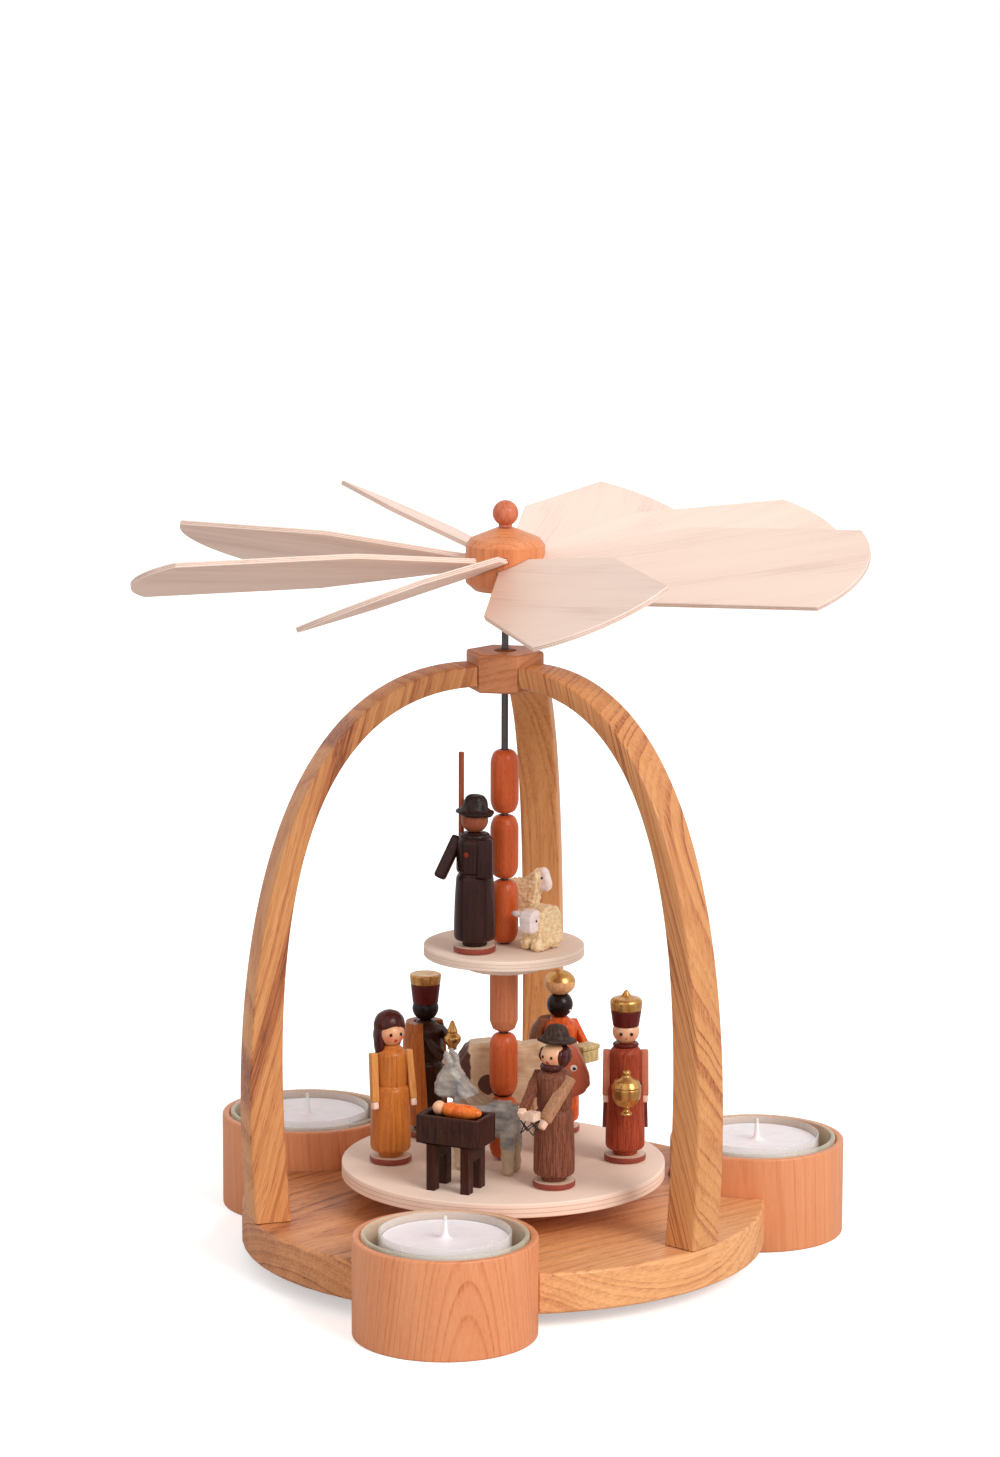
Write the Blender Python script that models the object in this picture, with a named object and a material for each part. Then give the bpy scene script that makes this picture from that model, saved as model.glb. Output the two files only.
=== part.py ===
"""Two-tier candle carousel: three tealight holders round a wooden stand, and a winged spindle with figures.

The origin is on the spindle's axis at table level, +Z is up and one holder faces -Y.
Bearings are angles round the axis, counted from -Y towards +X. Lengths are in metres.
"""

import math

import bmesh
import bpy
from mathutils import Matrix, Vector

for old in list(bpy.data.objects):
    bpy.data.objects.remove(old, do_unlink=True)

MM = 0.001
AXIS_X = Vector((1, 0, 0))
AXIS_Y = Vector((0, 1, 0))
AXIS_Z = Vector((0, 0, 1))
FULL_TURN = 2 * math.pi
HALF = 0.5
EDGE_SHARP = math.radians(35)

# Clearances
SEAT_GAP = 0.3 * MM
BORE_GAP = 0.3 * MM
CUT_OVERRUN = 2.0 * MM
WELD = 0.001 * MM

# Tealight holders, turned cups that carry the board
HOLDER_COUNT = 3
HOLDER_RADIUS = 27.0 * MM
HOLDER_HEIGHT = 29.6 * MM
HOLDER_WALL = 2.2 * MM
HOLDER_FLOOR = 11.9 * MM
HOLDER_EDGE = 0.7 * MM
HOLDER_SIDES = 36

# Base board, a disc with a notch for each holder
BOARD_RADIUS = 80.0 * MM
BOARD_THICK = 12.3 * MM
BOARD_LIFT = 5.0 * MM
BOARD_EDGE = 0.6 * MM
BOARD_SIDES = 60
BOARD_TOP = BOARD_LIFT + BOARD_THICK
HOLDER_SET_OUT = 3.2 * MM
HOLDER_RING = BOARD_RADIUS + HOLDER_SET_OUT

# Glass inserts in the holders
GLASS_WALL = 1.5 * MM
GLASS_FLOOR = 1.5 * MM
GLASS_PROUD = 0.7 * MM
GLASS_EDGE = 0.5 * MM
GLASS_SIDES = 28

# Tealights in the glasses
TEALIGHT_ROOM = 3.7 * MM
TEALIGHT_RADIUS = HOLDER_RADIUS - HOLDER_WALL - BORE_GAP - GLASS_WALL - TEALIGHT_ROOM
TEALIGHT_WALL = 0.5 * MM
TEALIGHT_PROUD = 1.4 * MM
WAX_DROP = 2.5 * MM
WAX_MOUND_RADIUS = 4.5 * MM
WAX_MOUND_HEIGHT = 1.6 * MM
WICK_RADIUS = 0.7 * MM
WICK_HEIGHT = 5.4 * MM
TEALIGHT_SIDES = 24

# Hexagonal block where the arches meet
BLOCK_SIDES = 6
BLOCK_SIDE = 12.0 * MM
BLOCK_BOTTOM = 175.4 * MM
BLOCK_HEIGHT = 11.7 * MM
BLOCK_EDGE = 0.5 * MM
BLOCK_APOTHEM = BLOCK_SIDE * math.cos(math.pi / BLOCK_SIDES)

# Bent arches, thicker at the foot than at the block
ARCH_WIDTH = 11.9 * MM
ARCH_FOOT_DEPTH = 11.2 * MM
ARCH_TOP_DEPTH = 6.2 * MM
ARCH_TOP_DROP = 3.6 * MM
ARCH_OUTER_LEAN = math.radians(5.0)
ARCH_INNER_LEAN = math.radians(5.2)
ARCH_OUTER_FOOT_PULL = 74.4 * MM
ARCH_INNER_FOOT_PULL = 79.4 * MM
ARCH_OUTER_TOP_PULL = 63.9 * MM
ARCH_INNER_TOP_PULL = 59.2 * MM
ARCH_EDGE = 0.6 * MM
ARCH_STATIONS = 18
ARCH_BACK_TURN = math.radians(2.4)

# Spindle and the cup that its point turns in
ROD_RADIUS = 1.05 * MM
ROD_POINT = 2.4 * MM
ROD_SIDES = 12
ROD_BORE = ROD_RADIUS + BORE_GAP
BUSH_RADIUS = 3.0 * MM
BUSH_LIP_RADIUS = 4.2 * MM
BUSH_LIP = 0.8 * MM
BUSH_SIDES = 16
BEARING_RADIUS = 3.6 * MM
BEARING_HEIGHT = 7.0 * MM
BEARING_LIP = 1.0 * MM
BEARING_LIP_RADIUS = 5.2 * MM
BEARING_MOUTH = 2.6 * MM
BEARING_FLOOR = 2.2 * MM
BEARING_SIDES = 20

# Plywood discs, each on a smaller collar
LOWER_DISC_RADIUS = 49.4 * MM
LOWER_DISC_THICK = 4.4 * MM
LOWER_DISC_TOP = 29.4 * MM
LOWER_DISC_SIDES = 52
UPPER_DISC_RADIUS = 24.4 * MM
UPPER_DISC_THICK = 3.3 * MM
UPPER_DISC_SIDES = 36
COLLAR_RADIUS = 11.8 * MM
COLLAR_THICK = 3.7 * MM
COLLAR_SIDES = 20
DISC_EDGE = 0.4 * MM

# Turned beads that space the discs on the spindle
BEADS_PER_TIER = 3
BEAD_LENGTH = 19.7 * MM
BEAD_RADIUS = 4.2 * MM
BEAD_END_RADIUS = 2.2 * MM
BEAD_SHOULDER = 2.6 * MM
BEAD_SIDES = 12
BEAD_PITCH = BEAD_LENGTH + SEAT_GAP

# Hub and knob
HUB_RADIUS = 11.9 * MM
HUB_BOTTOM = 205.4 * MM
HUB_BOTTOM_RADIUS = 9.3 * MM
HUB_LOWER_BEVEL = 2.3 * MM
HUB_SIDE = 11.3 * MM
HUB_UPPER_BEVEL = 2.0 * MM
HUB_SHOULDER_RADIUS = 10.4 * MM
HUB_CONE = 3.1 * MM
HUB_TOP_RADIUS = 2.8 * MM
HUB_SOCKET = 9.0 * MM
HUB_SIDES = 32
KNOB_RADIUS = 3.9 * MM
KNOB_NECK_RADIUS = 2.1 * MM
KNOB_NECK = 0.8 * MM
KNOB_SIDES = 14

# Plywood blades in slanted slots of the hub
# Each blade's bearing, rise and tilt in degrees, as they were glued by hand
BLADE_SETTINGS = (
    (26.0, -0.4, 22.0),
    (77.4, 2.4, 24.5),
    (127.6, 1.4, 22.0),
    (164.8, 1.8, 21.6),
    (210.4, 2.0, 24.0),
    (249.0, -1.0, 23.0),
    (299.6, -0.4, 20.0),
    (349.2, 1.0, 22.6),
)
BLADE_FIT = 0.15 * MM
BLADE_THICK = 1.6 * MM
BLADE_ROOT_HALF = 5.4 * MM
BLADE_HALF = 21.0 * MM
BLADE_SHOULDER_AT = 52.0 * MM
BLADE_CORNER_AT = 106.0 * MM
BLADE_TIP_AT = 114.0 * MM
BLADE_SEAT = 2.0 * MM
BLADE_LEVEL = 213.5 * MM
BLADE_TIP_STEPS = 10

# Figures: one turned foot, skirt, waist and chest serve them all
FOOT_RADIUS = 6.4 * MM
FOOT_THICK = 1.7 * MM
NECKING_RADIUS = 4.0 * MM
SKIRT_START = 3.0 * MM
SKIRT_ROUND = 1.3 * MM
SKIRT_RADIUS = 6.2 * MM
WAIST_AT = 23.9 * MM
WAIST_RADIUS = 4.7 * MM
WAIST_GROOVE = 0.6 * MM
CHEST_RADIUS = 5.5 * MM
SLIM_CHEST_RADIUS = 4.9 * MM
CHEST_TOP = 33.4 * MM
COLLAR_NECK_RADIUS = 3.0 * MM
NECK_TOP = 36.4 * MM
FIGURE_SIDES = 12
HEAD_SIDES = 12
FACE_RADIUS = 4.2 * MM
FACE_HEIGHT = 7.6 * MM
ARM_RADIUS = 1.35 * MM
ARM_SIDES = 6
SHOULDER_AT = 32.6 * MM
MIRROR_SHARES = (-1, 1, 1)
ARM_SINK = 0.5 * MM


def finish(name, colour, roughness, metallic=0.0, alpha=1.0):
    """A plain surface: its colour, roughness, metallic value and alpha."""
    surface = bpy.data.materials.get(name) or bpy.data.materials.new(name)
    surface.use_nodes = True
    shader = surface.node_tree.nodes["Principled BSDF"]
    shader.inputs["Base Color"].default_value = (*colour, 1.0)
    shader.inputs["Roughness"].default_value = roughness
    shader.inputs["Metallic"].default_value = metallic
    shader.inputs["Alpha"].default_value = alpha
    surface.diffuse_color = (*colour, alpha)
    return surface


OILED_OAK = finish("oiled_oak", (0.62, 0.33, 0.13), 0.5)
CHERRY = finish("cherry", (0.66, 0.31, 0.15), 0.5)
MAPLE = finish("maple", (0.82, 0.66, 0.5), 0.6)
BIRCH_PLY = finish("birch_ply", (0.85, 0.66, 0.5), 0.6)
RED_BEAD = finish("red_bead", (0.62, 0.2, 0.09), 0.3)
STEEL = finish("steel", (0.4, 0.4, 0.42), 0.3, metallic=1.0)
BRASS = finish("brass", (0.8, 0.6, 0.3), 0.35, metallic=1.0)
GLASS = finish("glass", (0.8, 0.88, 0.84), 0.05, alpha=0.35)
CLEAR_CUP = finish("clear_cup", (0.92, 0.93, 0.92), 0.1, alpha=0.5)
WAX = finish("wax", (0.93, 0.92, 0.9), 0.4)
OCHRE = finish("ochre_dress", (0.55, 0.26, 0.07), 0.4)
SKIN = finish("figure_skin", (0.8, 0.5, 0.3), 0.45)
DARK_BROWN = finish("dark_brown", (0.06, 0.03, 0.025), 0.45)
GREY_BROWN = finish("grey_brown", (0.16, 0.08, 0.06), 0.5)
RED_BROWN = finish("red_brown", (0.33, 0.09, 0.05), 0.45)
ORANGE_RED = finish("orange_red", (0.6, 0.14, 0.04), 0.4)
GOLD = finish("gold_paint", (0.6, 0.4, 0.1), 0.35, metallic=0.8)
GREY = finish("donkey_grey", (0.3, 0.29, 0.26), 0.7)
BEIGE = finish("ox_beige", (0.55, 0.4, 0.25), 0.6)
WOOL = finish("wool", (0.7, 0.5, 0.25), 0.85)
PALE = finish("pale_lantern", (0.85, 0.7, 0.55), 0.5)


def solid(name, form, surface, place=None):
    """Makes a named object from a bmesh whose faces then point outwards, shaded smooth but for its edges."""
    bmesh.ops.remove_doubles(form, verts=form.verts, dist=WELD)
    bmesh.ops.recalc_face_normals(form, faces=form.faces)
    mesh = bpy.data.meshes.new(name)
    form.to_mesh(mesh)
    form.free()
    mesh.shade_smooth()
    mesh.set_sharp_from_angle(angle=EDGE_SHARP)
    mesh.materials.append(surface)
    thing = bpy.data.objects.new(name, mesh)
    bpy.context.collection.objects.link(thing)
    if place is not None:
        thing.matrix_world = place
    return thing


def turned(profile, sides, closed=False):
    """A bmesh turned on the Z axis from (radius, height) points; a closed profile makes a ring."""
    form = bmesh.new()
    points = [form.verts.new((radius, 0, height)) for radius, height in profile]
    edges = [form.edges.new(pair) for pair in zip(points, points[1:])]
    if closed:
        edges.append(form.edges.new((points[-1], points[0])))
    bmesh.ops.spin(
        form,
        geom=points + edges,
        cent=(0, 0, 0),
        axis=AXIS_Z,
        angle=FULL_TURN,
        steps=sides,
        use_merge=True,
    )
    bmesh.ops.remove_doubles(form, verts=form.verts, dist=WELD)
    return form


def prism(outline, low, high):
    """A bmesh with an outline in XY, standing from one height to another."""
    form = bmesh.new()
    face = form.faces.new([form.verts.new((x, y, low)) for x, y in outline])
    grown = bmesh.ops.extrude_face_region(form, geom=[face])["geom"]
    lifted = [part for part in grown if isinstance(part, bmesh.types.BMVert)]
    bmesh.ops.translate(form, verts=lifted, vec=(0, 0, high - low))
    bmesh.ops.recalc_face_normals(form, faces=form.faces)
    return form


def moved(form, matrix):
    """The same bmesh after a move."""
    form.transform(matrix)
    return form


def ellipsoid(centre, radii, sides, rings):
    """A bmesh ball, stretched to three radii."""
    form = bmesh.new()
    bmesh.ops.create_uvsphere(form, u_segments=sides, v_segments=rings, radius=1)
    stretch = Matrix.Diagonal((*radii, 1))
    return moved(form, Matrix.Translation(centre) @ stretch)


def tapered_rod(start, end, start_radius, end_radius, sides):
    """A bmesh rod between two points, with flat ends."""
    span = Vector(end) - Vector(start)
    form = bmesh.new()
    bmesh.ops.create_cone(
        form,
        cap_ends=True,
        segments=sides,
        radius1=start_radius,
        radius2=end_radius,
        depth=span.length,
    )
    turn = AXIS_Z.rotation_difference(span).to_matrix().to_4x4()
    middle = (Vector(start) + Vector(end)) * HALF
    return moved(form, Matrix.Translation(middle) @ turn)


def applied(thing, other, operation):
    """Cuts or joins with another object, keeps the result as the mesh and removes the other."""
    change = thing.modifiers.new(operation.title(), "BOOLEAN")
    change.operation = operation
    change.solver = "EXACT"
    change.object = other
    bpy.context.view_layer.update()
    graph = bpy.context.evaluated_depsgraph_get()
    result = bpy.data.meshes.new_from_object(thing.evaluated_get(graph))
    thing.modifiers.remove(change)
    thing.data = result
    bpy.data.objects.remove(other, do_unlink=True)
    return thing


def cut(thing, form, place=None):
    return applied(thing, solid(thing.name + "_cutter", form, STEEL, place), "DIFFERENCE")


def join(thing, form, place=None):
    return applied(thing, solid(thing.name + "_joined", form, STEEL, place), "UNION")


def joined(name, forms, surface, place=None):
    """One body from overlapping bmeshes, moved to its place when it is whole."""
    thing = solid(name, forms[0], surface)
    for form in forms[1:]:
        join(thing, form)
    thing.data.shade_smooth()
    thing.data.set_sharp_from_angle(angle=EDGE_SHARP)
    if place is not None:
        thing.matrix_world = place
    return thing


def on_bearing(bearing, radius=0.0, height=0.0, facing=None):
    """A place at a bearing and radius; its own -Y looks along the bearing, or along another one."""
    spot = Matrix.Rotation(bearing, 4, "Z") @ Vector((0, -radius, height))
    look = bearing if facing is None else facing
    return Matrix.Translation(spot) @ Matrix.Rotation(look, 4, "Z")


def holder_profile():
    bore = HOLDER_RADIUS - HOLDER_WALL
    return [
        (0, 0),
        (HOLDER_RADIUS - HOLDER_EDGE, 0),
        (HOLDER_RADIUS, HOLDER_EDGE),
        (HOLDER_RADIUS, HOLDER_HEIGHT - HOLDER_EDGE),
        (HOLDER_RADIUS - HOLDER_EDGE, HOLDER_HEIGHT),
        (bore, HOLDER_HEIGHT),
        (bore, HOLDER_FLOOR),
        (0, HOLDER_FLOOR),
    ]


def glass_profile():
    outer = HOLDER_RADIUS - HOLDER_WALL - BORE_GAP
    inner = outer - GLASS_WALL
    low = HOLDER_FLOOR + SEAT_GAP
    high = HOLDER_HEIGHT + GLASS_PROUD
    return [
        (0, low),
        (outer - GLASS_EDGE, low),
        (outer, low + GLASS_EDGE),
        (outer, high - GLASS_EDGE),
        (outer - GLASS_EDGE, high),
        (inner, high),
        (inner, low + GLASS_FLOOR),
        (0, low + GLASS_FLOOR),
    ]


TEALIGHT_LOW = HOLDER_FLOOR + SEAT_GAP + GLASS_FLOOR + SEAT_GAP
TEALIGHT_HIGH = HOLDER_HEIGHT + TEALIGHT_PROUD
WAX_RADIUS = TEALIGHT_RADIUS - TEALIGHT_WALL - BORE_GAP
WAX_LOW = TEALIGHT_LOW + TEALIGHT_WALL + SEAT_GAP
WAX_HIGH = TEALIGHT_HIGH - WAX_DROP


def tealight_cup_profile():
    inner = TEALIGHT_RADIUS - TEALIGHT_WALL
    return [
        (0, TEALIGHT_LOW),
        (TEALIGHT_RADIUS, TEALIGHT_LOW),
        (TEALIGHT_RADIUS, TEALIGHT_HIGH),
        (inner, TEALIGHT_HIGH),
        (inner, TEALIGHT_LOW + TEALIGHT_WALL),
        (0, TEALIGHT_LOW + TEALIGHT_WALL),
    ]


def wax_profile():
    mound_top = WAX_HIGH + WAX_MOUND_HEIGHT
    return [
        (0, WAX_LOW),
        (WAX_RADIUS, WAX_LOW),
        (WAX_RADIUS, WAX_HIGH),
        (WAX_MOUND_RADIUS, WAX_HIGH),
        (WICK_RADIUS, mound_top),
        (WICK_RADIUS, mound_top + WICK_HEIGHT - WICK_RADIUS),
        (0, mound_top + WICK_HEIGHT),
    ]


def candle_places():
    names = ("front", "right", "left")
    for index, name in enumerate(names[:HOLDER_COUNT]):
        yield name, on_bearing(index * FULL_TURN / HOLDER_COUNT, HOLDER_RING)


def make_candle_holders():
    for name, place in candle_places():
        solid("holder_" + name, turned(holder_profile(), HOLDER_SIDES), CHERRY, place)
        solid("glass_insert_" + name, turned(glass_profile(), GLASS_SIDES), GLASS, place)
        cup = turned(tealight_cup_profile(), TEALIGHT_SIDES)
        solid("tealight_cup_" + name, cup, CLEAR_CUP, place)
        solid("tealight_wax_" + name, turned(wax_profile(), TEALIGHT_SIDES), WAX, place)


def make_base_board():
    profile = [
        (0, BOARD_LIFT),
        (BOARD_RADIUS - BOARD_EDGE, BOARD_LIFT),
        (BOARD_RADIUS, BOARD_LIFT + BOARD_EDGE),
        (BOARD_RADIUS, BOARD_TOP - BOARD_EDGE),
        (BOARD_RADIUS - BOARD_EDGE, BOARD_TOP),
        (0, BOARD_TOP),
    ]
    board = solid("base_board", turned(profile, BOARD_SIDES), OILED_OAK)
    notch_radius = HOLDER_RADIUS + SEAT_GAP
    low = BOARD_LIFT - CUT_OVERRUN
    high = BOARD_TOP + CUT_OVERRUN
    notch = [(0, low), (notch_radius, low), (notch_radius, high), (0, high)]
    for _, place in candle_places():
        cut(board, turned(notch, HOLDER_SIDES), place)
    seat = BEARING_RADIUS + BORE_GAP
    floor = BOARD_TOP - BEARING_HEIGHT - SEAT_GAP
    cut(board, turned([(0, floor), (seat, floor), (seat, high), (0, high)], BEARING_SIDES))
    board.data.shade_smooth()
    board.data.set_sharp_from_angle(angle=EDGE_SHARP)


def make_bearing():
    """A flanged cup let into the board, with a cone for the spindle's point."""
    low = BOARD_TOP - BEARING_HEIGHT
    flange = BOARD_TOP + SEAT_GAP
    profile = [
        (0, low),
        (BEARING_RADIUS, low),
        (BEARING_RADIUS, flange),
        (BEARING_LIP_RADIUS, flange),
        (BEARING_LIP_RADIUS, flange + BEARING_LIP),
        (BEARING_MOUTH, flange + BEARING_LIP),
        (0, low + BEARING_FLOOR),
    ]
    solid("spindle_bearing", turned(profile, BEARING_SIDES), BRASS)


def bezier(points, share):
    """The point of a cubic curve at a share of its run."""
    rest = 1 - share
    weights = (rest**3, 3 * rest**2 * share, 3 * rest * share**2, share**3)
    return sum((weight * Vector(point) for weight, point in zip(weights, points)), Vector((0, 0)))


def arch_curve(foot_radius, top_height, lean, foot_pull, top_pull):
    """(radius, height) control points from the foot, which leans outwards, to the level top at the block."""
    foot = Vector((foot_radius, BOARD_TOP + SEAT_GAP))
    top = Vector((BLOCK_APOTHEM + SEAT_GAP, top_height))
    outwards = Vector((math.sin(lean), math.cos(lean)))
    return foot, foot + outwards * foot_pull, top + Vector((top_pull, 0)), top


def make_arches():
    high = BLOCK_BOTTOM + BLOCK_HEIGHT - ARCH_TOP_DROP
    outer = arch_curve(BOARD_RADIUS, high, ARCH_OUTER_LEAN, ARCH_OUTER_FOOT_PULL, ARCH_OUTER_TOP_PULL)
    inner = arch_curve(
        BOARD_RADIUS - ARCH_FOOT_DEPTH,
        high - ARCH_TOP_DEPTH,
        ARCH_INNER_LEAN,
        ARCH_INNER_FOOT_PULL,
        ARCH_INNER_TOP_PULL,
    )
    half = ARCH_WIDTH * HALF
    turns = (("right", 0), ("back", ARCH_BACK_TURN), ("left", 0))
    for index, (name, turn) in enumerate(turns):
        form = bmesh.new()
        rings = []
        for station in range(ARCH_STATIONS + 1):
            share = station / ARCH_STATIONS
            out_point = bezier(outer, share)
            in_point = bezier(inner, share)
            step = (out_point - in_point).normalized() * ARCH_EDGE
            section = [
                (out_point, half - ARCH_EDGE),
                (out_point - step, half),
                (in_point + step, half),
                (in_point, half - ARCH_EDGE),
                (in_point, ARCH_EDGE - half),
                (in_point + step, -half),
                (out_point - step, -half),
                (out_point, ARCH_EDGE - half),
            ]
            rings.append([form.verts.new((side, -at.x, at.y)) for at, side in section])
        for low_ring, high_ring in zip(rings, rings[1:]):
            corners = len(low_ring)
            for corner in range(corners):
                after = (corner + 1) % corners
                form.faces.new(
                    (low_ring[corner], low_ring[after], high_ring[after], high_ring[corner])
                )
        form.faces.new(rings[0])
        form.faces.new(rings[-1])
        bearing = (index + HALF) * FULL_TURN / len(turns)
        end = Matrix.Translation((0, -BLOCK_APOTHEM, 0))
        turned_end = end @ Matrix.Rotation(turn, 4, "Z") @ end.inverted()
        solid("arch_" + name, form, OILED_OAK, on_bearing(bearing) @ turned_end)


def make_arch_block():
    turn = math.pi / BLOCK_SIDES
    corners = [
        (
            BLOCK_SIDE * math.sin(turn + FULL_TURN * index / BLOCK_SIDES),
            -BLOCK_SIDE * math.cos(turn + FULL_TURN * index / BLOCK_SIDES),
        )
        for index in range(BLOCK_SIDES)
    ]
    high = BLOCK_BOTTOM + BLOCK_HEIGHT
    form = prism(corners, BLOCK_BOTTOM, high)
    bmesh.ops.bevel(form, geom=form.edges[:], offset=BLOCK_EDGE, segments=1, affect="EDGES")
    block = solid("arch_block", form, OILED_OAK)
    low = BLOCK_BOTTOM - CUT_OVERRUN
    side = BUSH_RADIUS + BORE_GAP
    bore = [(0, low), (side, low), (side, high + CUT_OVERRUN), (0, high + CUT_OVERRUN)]
    cut(block, turned(bore, BUSH_SIDES))


def make_guide_bush():
    """A lipped bush through the block, which the spindle turns in."""
    high = BLOCK_BOTTOM + BLOCK_HEIGHT + SEAT_GAP
    profile = [
        (ROD_BORE, BLOCK_BOTTOM),
        (BUSH_RADIUS, BLOCK_BOTTOM),
        (BUSH_RADIUS, high),
        (BUSH_LIP_RADIUS, high),
        (BUSH_LIP_RADIUS, high + BUSH_LIP),
        (ROD_BORE, high + BUSH_LIP),
    ]
    solid("guide_bush", turned(profile, BUSH_SIDES, closed=True), BRASS)


def make_spindle():
    tip = BOARD_TOP - BEARING_HEIGHT + BEARING_FLOOR + SEAT_GAP
    top = HUB_BOTTOM + HUB_SOCKET - SEAT_GAP
    profile = [(0, tip), (ROD_RADIUS, tip + ROD_POINT), (ROD_RADIUS, top), (0, top)]
    solid("spindle", turned(profile, ROD_SIDES), STEEL)


def ring_profile(radius, low, high, edge):
    """A bored disc with eased rims, as a closed profile."""
    return [
        (ROD_BORE, low),
        (radius - edge, low),
        (radius, low + edge),
        (radius, high - edge),
        (radius - edge, high),
        (ROD_BORE, high),
    ]


BEAD_STACK = BEADS_PER_TIER * BEAD_PITCH
UPPER_COLLAR_LOW = LOWER_DISC_TOP + SEAT_GAP + BEAD_STACK
UPPER_DISC_LOW = UPPER_COLLAR_LOW + COLLAR_THICK + SEAT_GAP
UPPER_DISC_TOP = UPPER_DISC_LOW + UPPER_DISC_THICK


def make_disc(name, radius, low, high, sides, surface):
    solid(name, turned(ring_profile(radius, low, high, DISC_EDGE), sides, closed=True), surface)


def make_discs():
    low = LOWER_DISC_TOP - LOWER_DISC_THICK
    make_disc("lower_disc", LOWER_DISC_RADIUS, low, LOWER_DISC_TOP, LOWER_DISC_SIDES, MAPLE)
    high = low - SEAT_GAP
    make_disc("lower_collar", COLLAR_RADIUS, high - COLLAR_THICK, high, COLLAR_SIDES, MAPLE)
    high = UPPER_COLLAR_LOW + COLLAR_THICK
    make_disc("upper_collar", COLLAR_RADIUS, UPPER_COLLAR_LOW, high, COLLAR_SIDES, MAPLE)
    make_disc(
        "upper_disc", UPPER_DISC_RADIUS, UPPER_DISC_LOW, UPPER_DISC_TOP, UPPER_DISC_SIDES, MAPLE
    )


def make_beads():
    shoulder = BEAD_RADIUS - (BEAD_RADIUS - BEAD_END_RADIUS) * HALF * HALF
    profile = [
        (ROD_BORE, 0),
        (BEAD_END_RADIUS, 0),
        (shoulder, BEAD_SHOULDER * HALF),
        (BEAD_RADIUS, BEAD_SHOULDER),
        (BEAD_RADIUS, BEAD_LENGTH - BEAD_SHOULDER),
        (shoulder, BEAD_LENGTH - BEAD_SHOULDER * HALF),
        (BEAD_END_RADIUS, BEAD_LENGTH),
        (ROD_BORE, BEAD_LENGTH),
    ]
    tiers = (("lower", LOWER_DISC_TOP), ("upper", UPPER_DISC_TOP))
    for tier, floor in tiers:
        for index in range(BEADS_PER_TIER):
            place = Matrix.Translation((0, 0, floor + SEAT_GAP + index * BEAD_PITCH))
            form = turned(profile, BEAD_SIDES, closed=True)
            solid(f"{tier}_bead_{index + 1}", form, RED_BEAD, place)


def blade_place(settings):
    """The frame of a blade: +X along it, +Y across it and tilted with it, at the hub's mid height."""
    bearing, rise, tilt = (math.radians(angle) for angle in settings)
    outwards = on_bearing(bearing, height=BLADE_LEVEL) @ Matrix.Rotation(-math.pi * HALF, 4, "Z")
    return outwards @ Matrix.Rotation(-rise, 4, "Y") @ Matrix.Rotation(tilt, 4, "X")


HUB_SIDE_LOW = HUB_BOTTOM + HUB_LOWER_BEVEL
HUB_SIDE_HIGH = HUB_SIDE_LOW + HUB_SIDE
HUB_TOP = HUB_SIDE_HIGH + HUB_UPPER_BEVEL + HUB_CONE


def make_hub():
    profile = [
        (0, HUB_BOTTOM + HUB_SOCKET),
        (ROD_BORE, HUB_BOTTOM + HUB_SOCKET),
        (ROD_BORE, HUB_BOTTOM),
        (HUB_BOTTOM_RADIUS, HUB_BOTTOM),
        (HUB_RADIUS, HUB_SIDE_LOW),
        (HUB_RADIUS, HUB_SIDE_HIGH),
        (HUB_SHOULDER_RADIUS, HUB_SIDE_HIGH + HUB_UPPER_BEVEL),
        (HUB_TOP_RADIUS, HUB_TOP),
        (0, HUB_TOP),
    ]
    hub = solid("hub", turned(profile, HUB_SIDES), CHERRY)
    depth = HUB_RADIUS - BLADE_SEAT - SEAT_GAP
    half = BLADE_ROOT_HALF + BLADE_FIT
    outer = HUB_RADIUS + CUT_OVERRUN
    slot = [(depth, -half), (outer, -half), (outer, half), (depth, half)]
    side = BLADE_THICK * HALF + BLADE_FIT
    for settings in BLADE_SETTINGS:
        cut(hub, prism(slot, -side, side), blade_place(settings))
    hub.data.shade_smooth()
    hub.data.set_sharp_from_angle(angle=EDGE_SHARP)


def make_knob():
    """A ball on a short neck that stands on the hub."""
    low = HUB_TOP + SEAT_GAP
    neck_angle = math.asin(KNOB_NECK_RADIUS / KNOB_RADIUS)
    centre = low + KNOB_NECK + KNOB_RADIUS * math.cos(neck_angle)
    profile = [(0, low), (KNOB_NECK_RADIUS, low)]
    steps = KNOB_SIDES * HALF
    first = math.pi - neck_angle
    for step in range(int(steps) + 1):
        angle = first * (1 - step / steps)
        profile.append((KNOB_RADIUS * math.sin(angle), centre + KNOB_RADIUS * math.cos(angle)))
    profile[-1] = (0, centre + KNOB_RADIUS)
    solid("knob", turned(profile, KNOB_SIDES), CHERRY)


def blade_outline():
    """Straight root, shoulders, straight sides and a round tip whose arc meets the side's corners."""
    root = HUB_RADIUS - BLADE_SEAT
    rise = BLADE_TIP_AT - BLADE_CORNER_AT
    tip_radius = (BLADE_HALF**2 + rise**2) / (2 * rise)
    centre = BLADE_TIP_AT - tip_radius
    sweep = math.asin(BLADE_HALF / tip_radius)
    outline = [(root, -BLADE_ROOT_HALF), (HUB_RADIUS, -BLADE_ROOT_HALF)]
    outline.append((BLADE_SHOULDER_AT, -BLADE_HALF))
    for step in range(BLADE_TIP_STEPS + 1):
        angle = sweep * (2 * step / BLADE_TIP_STEPS - 1)
        outline.append((centre + tip_radius * math.cos(angle), tip_radius * math.sin(angle)))
    outline.append((BLADE_SHOULDER_AT, BLADE_HALF))
    outline += [(HUB_RADIUS, BLADE_ROOT_HALF), (root, BLADE_ROOT_HALF)]
    return outline


def make_blades():
    side = BLADE_THICK * HALF
    for number, settings in enumerate(BLADE_SETTINGS, start=1):
        form = prism(blade_outline(), -side, side)
        solid(f"blade_{number}", form, BIRCH_PLY, blade_place(settings))


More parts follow.
